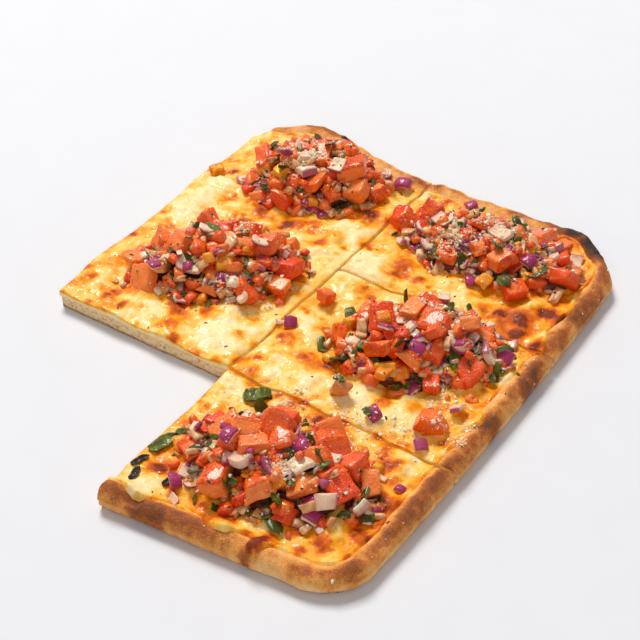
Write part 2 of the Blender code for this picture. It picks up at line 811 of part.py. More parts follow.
def main():
    """Builds the flatbread and what lies on it."""
    clear_scene()
    parts = bpy.data.collections.new("bruschetta_pizza")
    cutters = bpy.data.collections.new("beds")
    bpy.context.scene.collection.children.link(parts)
    bpy.context.scene.collection.children.link(cutters)
    beds = {}
    for slice_name in SLICES:
        layers = (add_dough(slice_name, parts), add_cheese(slice_name, parts))
        beds[slice_name] = [add_bed(layer, cutters) for layer in layers]
    for heap_name, heap in HEAPS.items():
        add_heap(heap_name, heap, beds[heap["slice"]], parts, cutters)
    for number, (name, row) in enumerate(LOOSE.items()):
        bed_down(add_loose(name, row, number, parts), beds[row[1]])
    for number, (name, row) in enumerate(LEAVES.items()):
        add_leaf(name, row, number, beds[row[0]], parts)
    sheet = bpy.data.objects.new("sheet", None)
    bpy.context.scene.collection.objects.link(sheet)
    sheet.location = SHEET_PLACE
    for obj in parts.objects:
        obj.parent = sheet


main()
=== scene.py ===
"""Bruschetta pizza, dressed round its packed solids.

Run in Blender 4.5 as a script. Metres, +Z up. Each operator makes one kind of piece, and main calls
them in order: the slices of flatbread and their cheese, the mounds under the toppings, the diced and
chopped toppings on them, the leaves, and what was sprinkled on last.
"""

import json
import math

import bmesh
import bpy
import numpy as np
from bpy.props import FloatProperty, FloatVectorProperty, IntProperty, PointerProperty
from bpy.types import Operator, Panel, PropertyGroup
from mathutils import Euler, Matrix, Vector
from mathutils.bvhtree import BVHTree

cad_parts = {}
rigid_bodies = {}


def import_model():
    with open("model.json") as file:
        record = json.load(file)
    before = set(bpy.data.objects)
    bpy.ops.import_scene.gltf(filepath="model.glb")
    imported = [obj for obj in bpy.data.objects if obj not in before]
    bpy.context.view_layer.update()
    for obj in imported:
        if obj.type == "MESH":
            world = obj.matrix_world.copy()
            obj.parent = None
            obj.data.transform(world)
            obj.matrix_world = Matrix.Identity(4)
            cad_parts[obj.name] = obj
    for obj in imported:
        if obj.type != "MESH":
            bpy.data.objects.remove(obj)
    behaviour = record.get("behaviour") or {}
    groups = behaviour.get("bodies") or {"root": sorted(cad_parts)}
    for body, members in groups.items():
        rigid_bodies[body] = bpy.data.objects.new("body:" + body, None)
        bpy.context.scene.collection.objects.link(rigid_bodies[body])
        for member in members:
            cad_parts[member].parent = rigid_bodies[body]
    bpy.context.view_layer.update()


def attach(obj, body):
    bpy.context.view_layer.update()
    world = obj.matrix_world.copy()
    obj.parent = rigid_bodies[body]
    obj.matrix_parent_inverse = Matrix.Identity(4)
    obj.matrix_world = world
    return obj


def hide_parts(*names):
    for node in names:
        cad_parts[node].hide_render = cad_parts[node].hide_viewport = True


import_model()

bl_info = {
    "name": "Bruschetta Pizza",
    "version": (1, 0, 0),
    "blender": (4, 5, 0),
    "location": "3D View > Sidebar > Bruschetta Pizza",
    "description": "Dresses the sliced flatbread with cheese, diced toppings, leaves and crumbs",
    "category": "Add Mesh",
}

# Driving dimensions of the flatbread before it was cut, as in its solids
SHEET_WIDTH = 0.2387
SHEET_LENGTH = 0.3025
DOUGH = 0.0080
CHEESE = 0.0024
RIM_CREST = 0.0124
RIM_CREST_IN = 0.0060
RIM_FOOT_IN = 0.0150
LONG_CUT = -0.0090
FRONT_CUT = -0.0493
BACK_CUT = 0.0491
CUT_GAP = 0.0007
SHEET_PLACE = (-0.0003, -0.0019, 0.0)
HALF_W = SHEET_WIDTH / 2
HALF_L = SHEET_LENGTH / 2
CLEARANCE = 0.0003
TINY = 1e-9
TURN = 2.0 * math.pi
# Random unevenness is read from a square table of this many values a side
NOISE_TABLE = 64
# Rounded corners of the sheet: side of a, side of b, radius and how square
CORNERS = ((1, -1, 0.024, 2.0), (1, 1, 0.031, 1.35), (-1, 1, 0.022, 2.0))
# Edge of the dough below its top, as (height, how far out): the rim's roll and the left lip
ROLL = ((0.0066, 0.0014), (0.0044, 0.0004), (0.0030, 0.0008), (0.0, -0.0016))
LIP = ((0.0062, -0.0004), (0.0044, -0.0018), (0.0022, -0.0046), (0.0, -0.0085))
EDGE_TOP = 0.0090
LIP_TOP = 0.0078
# Over how much two rims blend where they meet
MITRE = 0.0015
# Where the rim is lower, and where it is higher: side, place along it, reach and by how much
PINCHES = (
    ("right", 0.05, 0.0045, 0.003), ("right", 0.029, 0.007, 0.0018),
    ("right", -0.016, 0.006, 0.002), ("right", -0.05, 0.004, 0.0026),
    ("front", 0.011, 0.008, 0.0022), ("back", -0.011, 0.006, 0.0028),
)
SWELLS = (
    ("back", 0.09, 0.011, 0.0022), ("back", -0.085, 0.024, 0.001), ("right", 0.06, 0.006, 0.001),
    ("front", 0.052, 0.012, 0.0012), ("front", -0.004, 0.006, 0.001),
)
# Slices: left, right, front and back limits on the sheet before it was cut, and the sides left uncut
SLICES = {
    "left_back": (-HALF_W, LONG_CUT, FRONT_CUT, HALF_L, ("left", "back")),
    "right_back": (LONG_CUT, HALF_W, BACK_CUT, HALF_L, ("right", "back")),
    "right_middle": (LONG_CUT, HALF_W, FRONT_CUT, BACK_CUT, ("right",)),
    "right_front": (LONG_CUT, HALF_W, -HALF_L, FRONT_CUT, ("right", "front")),
}

# Steps of the fine grids over dough and cheese, and the rings down the dough's edge
DOUGH_STEP = 0.00135
CHEESE_STEP = 0.00085
EDGE_RINGS = 14
# Cheese: rings down its edge, how deep its underside sinks, and how far in it starts on each side
CHEESE_RINGS = 3
CHEESE_SUNK = 0.0008
CHEESE_IN = {"left": 0.0004, "right": -0.0030, "front": 0.0010, "back": -0.0040}
# Unevenness of the cheese: how strong, span and seed
CHEESE_LUMPS = ((0.50, 0.0130, 61), (0.60, 0.0062, 64), (0.22, 0.0030, 62))

# Browner corners of the cheese: place, reach and how much; the burnt corner of the crust: place and reach
BROWNER = (((0.100, 0.072), 0.024, 1.0), ((0.110, -0.140), 0.040, 0.6))
BURNT_CORNER = ((0.0900, 0.1480), 0.0170)
# Small bubbles of the cheese: how far apart, how far off their place, reach and how dark
BUBBLE_STEP = 0.0118
BUBBLE_SHIFT = 0.0055
BUBBLE_REACH = (0.0013, 0.0042)
BUBBLE_DARK = (-0.12, 0.42)

# Pale mounds of melted cheese: place and reach
MOUNDS = (
    (-0.07, -0.0357, 0.009), (-0.023, -0.035, 0.013), (-0.036, -0.02, 0.01),
    (-0.013, -0.018, 0.009), (-0.017, 0.047, 0.013), (0.0095, -0.034, 0.011),
    (0.008, -0.002, 0.008), (0.004, 0.056, 0.01), (0.055, -0.03, 0.012), (0.08, -0.03, 0.011),
    (-0.02, 0.08, 0.011), (-0.11, 0.069, 0.012), (-0.11, 0.05, 0.011), (-0.045, 0.056, 0.009),
    (0.05, 0.07, 0.007), (0.07, -0.133, 0.011), (0.095, -0.113, 0.009), (0.006, -0.14, 0.008),
    (-0.006, -0.06, 0.008),
)
# Browned blisters on the cheese: place, reach and how dark
BLISTERS = (
    (-0.086, -0.0256, 0.006, 0.42), (-0.06, -0.0243, 0.0075, 0.52), (-0.0545, -0.0385, 0.007, 0.3),
    (-0.0404, -0.0207, 0.0045, 0.32), (-0.0198, -0.0261, 0.0034, 0.48),
    (-0.082, 0.0697, 0.0046, 0.46), (-0.072, 0.0662, 0.0048, 0.52), (-0.05, 0.0677, 0.0065, 0.5),
    (-0.0411, 0.0749, 0.0042, 0.6), (-0.0286, 0.0614, 0.0044, 0.56),
    (-0.0173, 0.0659, 0.0026, 0.52), (-0.0089, 0.0748, 0.0036, 0.48),
    (-0.0206, 0.0989, 0.0048, 0.58), (-0.1077, 0.0897, 0.0036, 0.54), (0.0009, -0.014, 0.006, 0.42),
    (0.0207, -0.024, 0.0075, 0.44), (0.0311, -0.0179, 0.004, 0.72), (0.0023, -0.0438, 0.0046, 0.52),
    (0.0176, 0.0724, 0.0058, 0.54), (0.0315, 0.0641, 0.004, 0.5), (0.0865, 0.0633, 0.01, 0.34),
    (0.0959, 0.0551, 0.005, 0.66), (0.1009, 0.0787, 0.005, 1.0), (0.0972, 0.0925, 0.0044, 1.0),
    (0.111, 0.0755, 0.0042, 0.92), (0.115, 0.091, 0.0032, 0.9), (0.1084, 0.0513, 0.004, 0.62),
    (0.0687, -0.0284, 0.0052, 0.48), (0.0827, -0.0235, 0.0055, 0.46),
    (0.0093, -0.1086, 0.005, 0.42), (0.005, -0.1262, 0.0052, 0.62), (0.0151, -0.1194, 0.006, 0.34),
    (0.0903, -0.1309, 0.004, 0.54), (0.0957, -0.1214, 0.0048, 0.6), (0.107, -0.0841, 0.0055, 0.6),
    (0.0967, -0.0617, 0.0042, 0.58), (0.0866, -0.0545, 0.0056, 0.56), (0.107, -0.11, 0.0052, 0.36),
    (0.0505, -0.1362, 0.0068, 0.7), (0.0748, -0.133, 0.0042, 0.54), (0.074, -0.1368, 0.0036, 0.62),
    (0.0731, -0.1404, 0.0032, 0.74), (0.0722, -0.144, 0.003, 0.98), (0.05, -0.057, 0.005, 0.4),
    (-0.076, 0.052, 0.005, 0.34), (-0.112, -0.015, 0.005, 0.36), (-0.102, -0.0472, 0.0026, 0.4),
    (-0.0962, -0.0385, 0.0034, 0.5), (-0.0838, -0.0395, 0.0034, 0.52),
    (-0.1125, -0.03, 0.003, 0.42),
)
# Darker spots on the crust: place, reach and how dark
SCORCHES = (
    (0.084, 0.149, 0.013, 0.6), (0.099, 0.142, 0.012, 0.44), (0.0615, 0.151, 0.005, 0.42),
    (0.1192, 0.0317, 0.005, 0.76), (0.1215, 0.024, 0.0054, 0.8), (0.1194, -0.0121, 0.0038, 0.8),
    (0.1135, -0.015, 0.003, 0.66), (0.123, -0.031, 0.008, 0.16), (0.124, -0.065, 0.01, 0.16),
    (0.116, 0.09, 0.009, 0.34), (0.117, 0.064, 0.006, 0.26), (0.014, -0.153, 0.0062, 0.58),
    (0.022, -0.1515, 0.005, 0.4), (0.045, -0.15, 0.015, 0.18), (0.052, -0.137, 0.0052, 0.46),
    (0.0715, -0.148, 0.003, 0.8), (-0.1205, -0.009, 0.006, 0.44), (-0.092, 0.156, 0.006, 0.34),
    (0.121, 0.108, 0.004, 0.34),
)
# Where the cheese ran out over the rim: place, reach and how far
RUNS = (
    (0.0745, -0.1345, 0.004, 0.006), (0.0735, -0.139, 0.0034, 0.01),
    (0.0723, -0.1445, 0.0032, 0.015), (0.0515, -0.1385, 0.008, 0.0085),
    (-0.0085, -0.139, 0.006, 0.007), (0.116, -0.012, 0.005, 0.005), (0.113, 0.052, 0.007, 0.004),
    (0.112, 0.085, 0.008, 0.0035), (0.006, -0.143, 0.008, 0.004),
)

# Diced toppings: least and most of the three sides, as parts of the size, thinnest first
KINDS = {
    "tomato": ((0.50, 0.75, 0.95), (0.70, 0.98, 1.25)),
    "onion": ((0.30, 0.70, 0.90), (0.45, 0.90, 1.20)),
    "pepper": ((0.45, 0.65, 0.85), (0.65, 0.85, 1.15)),
    "garlic": ((0.35, 0.55, 0.90), (0.50, 0.75, 1.30)),
    "cheese": ((0.60, 0.70, 0.75), (0.75, 0.90, 1.00)),
    "basil": ((0.09, 0.40, 0.90), (0.12, 0.55, 1.40)),
}
# Heaps, as in their solids, with their half axes as reach and their turn in degrees
# Its dropped pieces are a mix of (kind, how many, least and most size), the others are (kind, x, y, size)
HEAPS = {
    "left_middle": {
        "slice": "left_back", "centre": (-0.061, 0.013), "reach": (0.047, 0.03),
        "turn": 32, "height": 0.0205, "seed": 11,
        "mix": (
            ("tomato", 24, 0.0095, 0.016), ("onion", 14, 0.008, 0.012),
            ("garlic", 14, 0.008, 0.0115), ("pepper", 4, 0.0085, 0.011), ("basil", 9, 0.009, 0.014),
        ),
        "set": (
            ("tomato", -0.0985, -0.011, 0.014), ("tomato", -0.09, 0.004, 0.0135),
            ("tomato", -0.079, 0.005, 0.0165), ("tomato", -0.066, 0.027, 0.017),
            ("tomato", -0.057, 0.006, 0.015), ("tomato", -0.048, 0.018, 0.015),
            ("tomato", -0.027, 0.028, 0.018), ("pepper", -0.05, 0.003, 0.0115),
            ("onion", -0.065, -0.006, 0.013), ("garlic", -0.08, -0.012, 0.014),
        ),
    },
    "left_back": {
        "slice": "left_back", "centre": (-0.062, 0.107), "reach": (0.04, 0.03),
        "turn": 20, "height": 0.021, "seed": 23,
        "mix": (
            ("tomato", 22, 0.01, 0.0165), ("onion", 12, 0.0075, 0.0115), ("garlic", 8, 0.007, 0.01),
            ("pepper", 4, 0.0085, 0.012), ("basil", 10, 0.009, 0.015),
        ),
        "set": (
            ("tomato", -0.09, 0.099, 0.017), ("pepper", -0.088, 0.093, 0.013),
            ("tomato", -0.0535, 0.092, 0.014), ("tomato", -0.034, 0.103, 0.017),
            ("tomato", -0.062, 0.109, 0.018), ("tomato", -0.053, 0.12, 0.015),
            ("onion", -0.072, 0.108, 0.012), ("basil", -0.055, 0.131, 0.019),
        ),
    },
    "right_back": {
        "slice": "right_back", "centre": (0.0515, 0.105), "reach": (0.055, 0.029),
        "turn": 5, "height": 0.0165, "seed": 35,
        "mix": (
            ("tomato", 18, 0.009, 0.015), ("onion", 20, 0.0075, 0.0115),
            ("garlic", 22, 0.007, 0.0105), ("pepper", 4, 0.008, 0.01), ("basil", 18, 0.008, 0.013),
        ),
        "set": (
            ("tomato", 0.003, 0.099, 0.016), ("tomato", 0.01, 0.11, 0.015),
            ("tomato", 0.073, 0.122, 0.016), ("tomato", 0.08, 0.08, 0.0135),
            ("tomato", 0.098, 0.102, 0.015), ("onion", 0.082, 0.118, 0.012),
            ("onion", 0.078, 0.099, 0.01),
        ),
    },
    "right_middle": {
        "slice": "right_middle", "centre": (0.062, 0.015), "reach": (0.046, 0.031),
        "turn": 25, "height": 0.02, "seed": 47,
        "mix": (
            ("tomato", 22, 0.009, 0.016), ("onion", 18, 0.008, 0.0125),
            ("garlic", 15, 0.0075, 0.011), ("pepper", 3, 0.0085, 0.0105),
            ("basil", 12, 0.008, 0.013),
        ),
        "set": (
            ("tomato", 0.026, 0.0, 0.0125), ("tomato", 0.067, 0.018, 0.0165),
            ("tomato", 0.052, 0.034, 0.016), ("tomato", 0.094, 0.01, 0.016),
            ("tomato", 0.082, -0.006, 0.012), ("pepper", 0.061, -0.012, 0.013),
            ("onion", 0.085, 0.016, 0.013), ("onion", 0.097, 0.025, 0.0125),
        ),
    },
    "right_front": {
        "slice": "right_front", "centre": (0.0545, -0.0965), "reach": (0.049, 0.032),
        "turn": 10, "height": 0.0195, "seed": 59,
        "mix": (
            ("tomato", 26, 0.011, 0.0175), ("onion", 14, 0.008, 0.0125),
            ("garlic", 10, 0.007, 0.01), ("pepper", 3, 0.0085, 0.0105),
            ("basil", 12, 0.0085, 0.014),
        ),
        "set": (
            ("tomato", 0.024, -0.095, 0.018), ("tomato", 0.0365, -0.12, 0.0175),
            ("tomato", 0.057, -0.116, 0.0165), ("tomato", 0.074, -0.108, 0.0165),
            ("tomato", 0.09, -0.098, 0.0165), ("tomato", 0.084, -0.082, 0.018),
            ("tomato", 0.0545, -0.0975, 0.0195), ("tomato", 0.07, -0.092, 0.019),
            ("onion", 0.085, -0.113, 0.0125),
        ),
    },
}
# A heap's core: its spread and height, as shares of the heap's
CORE_SPREAD = 0.88
CORE_SHARE = 0.66
# Dropping: tries for each piece, how close pieces pack, and how high in the dome those given one by one lie
DROP_TRIES = 14
PACKING = 0.86
SET_DEPTH = 0.86
# How far over the dome a piece may come to rest, and how far out in the heap it may drop
MOST_OVER = 0.0035
DROP_OUTLINE = 0.95
# How far a piece's middle lies over what it rests on, as a share of its size, and how much it leans
REST_SHARE = 0.40
LEAF_REST_SHARE = 0.24
LEAN = 0.42
LEAF_LEAN = 0.55
# How far under the dome a piece gets its full painted shade and juice colour, and how far down a single
# piece sinks into the cheese
DARKEST_DEPTH = 0.0090
SUNK_DEPTH = 0.0010
# Rounded blocks that pieces are carved from: parts a side, and how round
DICED_BLOCKS = {"tomato": (8, 0.24), "onion": (6, 0.18), "garlic": (6, 0.34), "pepper": (8, 0.24)}
DICED_BLOCKS["basil"] = (8, 0.30)
SMALL_BLOCK = (5, 0.40)
BIT_BLOCK = (3, 0.30)
LUMP_BLOCK = (10, 0.50)
# Chopped bits: share of each kind, small and larger sizes with their shares, and how much longer leaves are
CHOPPED_SHARES = {"garlic": 0.27, "onion": 0.25, "tomato": 0.27, "basil": 0.16, "pepper": 0.05}
SMALL_BITS = (0.0028, 0.0062)
LARGE_BITS = (0.0062, 0.0095)
BIT_SHARES = (0.72, 0.28)
LEAF_BIT = 1.3
# Where they drop: tries for each, how far out, every how many strays and how far, and room at the cuts
BIT_TRIES = 5
BIT_OUTLINE = 1.06
STRAY_EVERY = 12
STRAY_OUTLINE = 1.24
BIT_INWARD = 0.004
# By how much a bare place on the mound draws a bit more than any other
BARE_DRAW = 0.006

# Single pieces beside the heaps, as in their solids: kind, place, size and turn about Z
LOOSE = {
    "tomato_by_middle": ("tomato", (0.0965, -0.0300), 0.0170, 20),
    "onion_by_middle": ("onion", (0.1020, -0.0130), 0.0090, 70),
    "onion_by_rim": ("onion", (0.1000, -0.0440), 0.0085, 10),
    "garlic_by_middle": ("garlic", (0.0478, -0.0345), 0.0130, 35),
    "onion_by_cut": ("onion", (0.0712, -0.0410), 0.0090, 10),
    "tomato_beside_cut": ("tomato", (0.0010, 0.0225), 0.0110, 50),
    "onion_beside_cut": ("onion", (-0.0020, -0.0055), 0.0080, 15),
    "onion_by_back": ("onion", (-0.0200, 0.1310), 0.0095, 110),
    "onion_between": ("onion", (0.0510, 0.0575), 0.0090, 60),
    "cheese_lump": ("cheese", (-0.1155, 0.0840), 0.0100, 40),
}
# Leaf pieces lying flat: place, length, width and turn
LEAVES = {
    "basil_leaf": ((-0.0030, -0.1100), 0.0170, 0.0068, 72),
    "basil_leaf_by_heap": ((0.0150, -0.0580), 0.0140, 0.0105, 20),
    "charred_basil_1": ((-0.0045, -0.1260), 0.0105, 0.0034, 72),
    "charred_basil_2": ((-0.0010, -0.1345), 0.0085, 0.0036, 88),
    "charred_basil_3": ((0.0150, -0.1300), 0.0060, 0.0034, 64),
}
LEAF_THICKNESS = 0.0008
# Points along a leaf piece and across it
LEAF_GRID = (27, 9)
# Small pieces that show on a heap's top or beside it: kind, place and size
SMALL_SET = (
    ("onion", (0.0343, -0.1076), 0.0085), ("onion", (0.0097, -0.1001), 0.0085),
    ("basil", (0.0225, -0.0655), 0.009), ("pepper", (0.0618, -0.0172), 0.0105),
    ("tomato", (0.056, -0.0192), 0.0085), ("basil", (0.053, -0.015), 0.01),
    ("basil", (0.0758, -0.0937), 0.009), ("basil", (0.0696, -0.1194), 0.012),
    ("basil", (0.0981, -0.0931), 0.01), ("basil", (0.0168, -0.0784), 0.011),
    ("onion", (0.0183, -0.1287), 0.0095), ("onion", (0.024, -0.137), 0.0065),
    ("onion", (0.0516, 0.0125), 0.008), ("onion", (0.0516, 0.0004), 0.0085),
    ("onion", (0.0708, -0.002), 0.0095), ("onion", (0.086, 0.0155), 0.0095),
    ("onion", (0.0927, 0.0436), 0.0085), ("onion", (0.0824, 0.05), 0.0085),
    ("onion", (0.0562, 0.0455), 0.007), ("basil", (0.0677, -0.0161), 0.012),
    ("basil", (0.0738, -0.0137), 0.011), ("basil", (0.0843, 0.0397), 0.011),
    ("basil", (0.069, 0.0545), 0.01), ("basil", (0.0635, -0.0051), 0.012),
    ("pepper", (0.047, 0.0048), 0.008), ("onion", (0.0205, 0.1374), 0.0085),
    ("onion", (0.0557, 0.0767), 0.008), ("onion", (0.085, 0.11), 0.01),
    ("basil", (0.056, 0.1301), 0.011), ("basil", (0.062, 0.0934), 0.011),
    ("basil", (0.0747, 0.0784), 0.011), ("basil", (0.0661, 0.1152), 0.011),
    ("basil", (-0.0901, 0.1027), 0.01), ("basil", (-0.0715, 0.088), 0.01),
    ("basil", (-0.066, 0.0869), 0.009), ("basil", (-0.0504, 0.1095), 0.01),
    ("onion", (-0.0331, 0.1348), 0.008), ("onion", (-0.0406, 0.0218), 0.0105),
    ("onion", (-0.0808, -0.0173), 0.0095), ("basil", (-0.066, 0.014), 0.012),
    ("basil", (-0.0567, 0.0245), 0.012), ("basil", (-0.0828, -0.0026), 0.011),
    ("onion", (-0.0314, -0.0066), 0.0075), ("onion", (-0.008, -0.006), 0.006),
    ("basil", (0.048, -0.036), 0.006), ("basil", (0.069, -0.043), 0.006),
)
# Looks of the diced toppings: flesh, second flesh, skin and ripest skin; grain, gloss, depth and strength
# of the painted highlights on wet spots
TOPPING_LOOKS = {
    "tomato": (("flesh", "pale_flesh", "skin", "skin_deep"), 200.0, 0.14, 0.22, 0.50),
    "onion": (("onion_flesh", "onion_blush", "onion_skin", "onion_skin"), 320.0, 0.18, 0.25, 0.0),
    "garlic": (("garlic", "garlic_brown", "garlic_edge", "garlic_brown"), 380.0, 0.24, 0.25, 0.0),
    "pepper": (("pepper", "pepper_deep", "pepper", "pepper_deep"), 260.0, 0.16, 0.25, 0.0),
    "basil": (("leaf", "leaf_fresh", "leaf_light", "leaf_fresh"), 520.0, 0.24, 0.03, 0.0),
}
# Kinds of topping, each with the name of a slot of the part, which is passed on but not used
SLOTS = {"tomato": "tomato", "onion": "onion", "garlic": "garlic", "pepper": "tomato", "basil": "basil"}
# What a piece far inside a heap has laid over its colour: painted shade, and juice
INSIDE_SHADE_AND_JUICE = (0.27, 0.11, 0.04)

# Grains: the least height they stay at, how level their place has to be at least, and tries for each
LOWEST_GRAIN = 0.0070
LEAST_LEVEL = 0.25
GRAIN_TRIES = 60
# Height from which pieces fall, over everything
FALL_HEIGHT = 0.2
# How often the mounds' faces are divided
MOUND_DETAIL = 6

# Studio: the lights and the floor, then the camera's place, aim, film width and how far it sees
KEY_PLACE = (-1.90, 1.45, 3.30)
FILL_PLACE = (1.20, -1.70, 1.50)
LIGHT_SIZE = 1.4
LIGHT_COLOUR = (1.0, 0.96, 0.90)
FLOOR_SIZE = 4.0
CAMERA_PLACE = (0.41453, -0.59357, 0.61153)
CAMERA_AIM = (-0.00013, 0.0184, 0.0)
SENSOR_WIDTH = 36.0
CAMERA_REACH = 20.0

# Clusters of grated cheese on and beside the heaps: place and reach
GRATINGS = (
    (0.0355, 0.0892, 0.012), (0.0461, 0.1006, 0.011), (0.06, 0.108, 0.012), (0.062, 0.031, 0.011),
    (0.078, 0.038, 0.008), (0.042, -0.064, 0.01), (0.03, -0.08, 0.01), (0.064, -0.104, 0.01),
    (-0.042, -0.006, 0.0075), (-0.056, 0.033, 0.009), (-0.062, 0.105, 0.012),
    (-0.075, 0.096, 0.009), (0.0315, -0.0458, 0.005), (0.0558, -0.0469, 0.007),
    (0.0646, -0.047, 0.0075), (0.0744, -0.0465, 0.007), (0.085, -0.04, 0.007),
    (0.1036, -0.0324, 0.007), (0.1125, -0.0306, 0.006), (0.111, -0.019, 0.006),
    (0.0478, -0.035, 0.005), (0.03, -0.056, 0.007), (0.09, -0.013, 0.008), (-0.018, 0.002, 0.005),
    (-0.03, -0.01, 0.0045),
)


def ink(red, green, blue):
    """A colour as it shows on a screen, from 0 to 255, as the light it stands for."""
    shares = np.array((red, green, blue)) / 255.0
    lights = np.where(shares <= 0.04045, shares / 12.92, ((shares + 0.055) / 1.055) ** 2.4)
    return tuple(float(light) for light in lights)


def tint(name, description, *shown):
    """A colour that a user can change, from how it shows on a screen."""
    return FloatVectorProperty(
        name=name, description=description, default=ink(*shown), subtype="COLOR", min=0.0, max=1.0
    )


def amount(name, description, default, unit="NONE"):
    """A size or a strength that a user can change."""
    return FloatProperty(name=name, description=description, default=default, min=0.0, unit=unit)


def number_of(name, description, default):
    """How many pieces there are, which a user can change."""
    return IntProperty(name=name, description=description, default=default, min=0)


class CrustLook(PropertyGroup):
    """Colours of the baked dough."""

    crumb: tint("Crumb", "Dough inside, where it was cut", 252, 228, 188)
    pale: tint("Pale crust", "Crust that hardly took colour", 252, 206, 140)
    golden: tint("Golden crust", "Crust baked to gold", 236, 158, 72)
    brown: tint("Brown crust", "Crust on the rim's crest", 172, 90, 30)
    char: tint("Charred crust", "Crust where it burnt", 44, 24, 16)


class CheeseLook(PropertyGroup):
    """Colours of the melted cheese."""

    cream: tint("Cream", "Cheese that stayed pale", 255, 229, 172)
    butter: tint("Butter", "Cheese with a little colour", 253, 200, 90)
    gold: tint("Gold", "Oily cheese between the mounds", 250, 160, 2)
    toasted: tint("Toasted", "Cheese of the blisters", 214, 94, 2)
    dark: tint("Dark", "Middle of the darkest blisters", 122, 42, 4)


class ToppingLook(PropertyGroup):
    """Colours of the diced vegetables and the leaves."""

    skin: tint("Tomato skin", "Outer side of a tomato piece", 252, 116, 2)
    skin_deep: tint("Deep tomato skin", "Outer side where it is ripest", 202, 34, 0)
    flesh: tint("Tomato flesh", "Cut side of a ripe tomato piece", 236, 72, 8)
    pale_flesh: tint("Pale tomato flesh", "Cut side of a firm tomato piece", 252, 140, 62)
    onion_skin: tint("Onion skin", "Outer side of an onion piece", 168, 44, 100)
    onion_flesh: tint("Onion flesh", "Cut side of an onion piece", 250, 232, 200)
    onion_blush: tint("Onion blush", "Cut side of a pinker onion piece", 244, 208, 180)
    garlic: tint("Garlic", "Cooked garlic", 250, 224, 176)
    garlic_brown: tint("Browned garlic", "Garlic that cooked longer", 230, 154, 92)
    garlic_edge: tint("Garlic edge", "Cooked garlic where it browned", 188, 116, 60)
    pepper: tint("Pepper", "Yellow pepper pieces", 250, 182, 40)
    pepper_deep: tint("Deep pepper", "Orange pepper pieces", 242, 130, 20)
    leaf: tint("Leaf", "Cooked basil", 36, 50, 10)
    leaf_fresh: tint("Fresh leaf", "Basil that wilted less", 84, 94, 10)
    leaf_light: tint("Light leaf", "Basil that stayed green", 134, 148, 36)
    juice: tint("Juice", "Wet mound under the pieces", 108, 44, 14)


class Sprinkling(PropertyGroup):
    """How much was sprinkled on, and how large it is."""

    grains: number_of("Grains", "Grains of grated cheese", 3400)
    crumbs: number_of("Crumbs", "Larger crumbs of grated cheese", 330)
    grain_size: amount("Grain size", "Largest crumb", 0.0030, "LENGTH")
    flecks: number_of("Flecks", "Flecks of dried herbs", 330)
    fleck_size: amount("Fleck size", "Longest fleck", 0.0034, "LENGTH")
    bits: number_of("Chopped bits", "Small chopped bits on each heap", 500)
    grain_colour: tint("Grains", "Grated cheese", 255, 246, 214)
    fleck_colour: tint("Flecks", "Dried herbs and pepper", 40, 44, 22)


class Studio(PropertyGroup):
    """Floor, lights and camera."""

    floor: tint("Floor", "Plain pale floor", 223, 225, 232)
    key: amount("Key light", "Power of the main light", 166.0, "POWER")
    fill: amount("Fill light", "Power of the light beside the camera", 11.0, "POWER")
    sky: amount("Room light", "Strength of the light from all sides", 0.34)
    lens: amount("Lens", "Focal length in millimetres", 102.97)


def fade(t):
    """A smooth step from 0 to 1."""
    t = np.clip(t, 0.0, 1.0)
    return t * t * (3.0 - 2.0 * t)


def hump(t, middle, reach):
    """A smooth hump of height 1."""
    return np.exp(-(((t - middle) / reach) ** 2))


def apart(x, y, place_of, reach):
    """Square of the distance from a place, counted in reaches."""
    return ((x - place_of[0]) ** 2 + (y - place_of[1]) ** 2) / reach**2


def mound(x, y, place_of, reach):
    """A smooth round mound of height 1."""
    return np.exp(-apart(x, y, place_of, reach))


def spot(x, y, place_of, reach):
    """A spot of height 1 with a flat middle and a clear edge."""
    return np.exp(-(apart(x, y, place_of, reach) ** 2))


def held_back(value, start, share):
    """A value whose part over a start counts only for a share."""
    return np.where(value > start, start + share * (value - start), value)


def waves(x, y, span, seed):
    """Smooth unevenness of about -1 to 1, with its hollows about span apart."""
    rng = np.random.default_rng(seed)
    total = 0.0
    for _ in range(5):
        turn, phase = rng.uniform(0.0, TURN, 2)
        pitch = TURN / (span * rng.uniform(0.7, 1.4))
        along = x * math.cos(turn) + y * math.sin(turn)
        total = total + np.sin(pitch * along + phase)
    return total / 2.5


def grain(x, y, span, seed):
    """Random unevenness of -1 to 1 without any rhythm, with its hollows about span apart."""
    table = np.random.default_rng(seed).uniform(-1.0, 1.0, (NOISE_TABLE, NOISE_TABLE))
    turn = 0.7 + 1.3 * seed
    u = (x * math.cos(turn) - y * math.sin(turn)) / span + 20.0
    v = (x * math.sin(turn) + y * math.cos(turn)) / span + 20.0
    column = np.floor(u).astype(int)
    row = np.floor(v).astype(int)
    over = fade(u - column)
    up = fade(v - row)
    sides = []
    for j in (0, 1):
        left, right = (table[(column + i) % NOISE_TABLE, (row + j) % NOISE_TABLE] for i in (0, 1))
        sides.append(left + (right - left) * over)
    return sides[0] + (sides[1] - sides[0]) * up


def rough(x, y, span, seed):
    """Unevenness of three sizes, of about -1 to 1."""
    half = 0.5 * grain(x, y, span / 2, seed + 1)
    quarter = 0.25 * grain(x, y, span / 4, seed + 2)
    return (grain(x, y, span, seed) + half + quarter) / 1.4


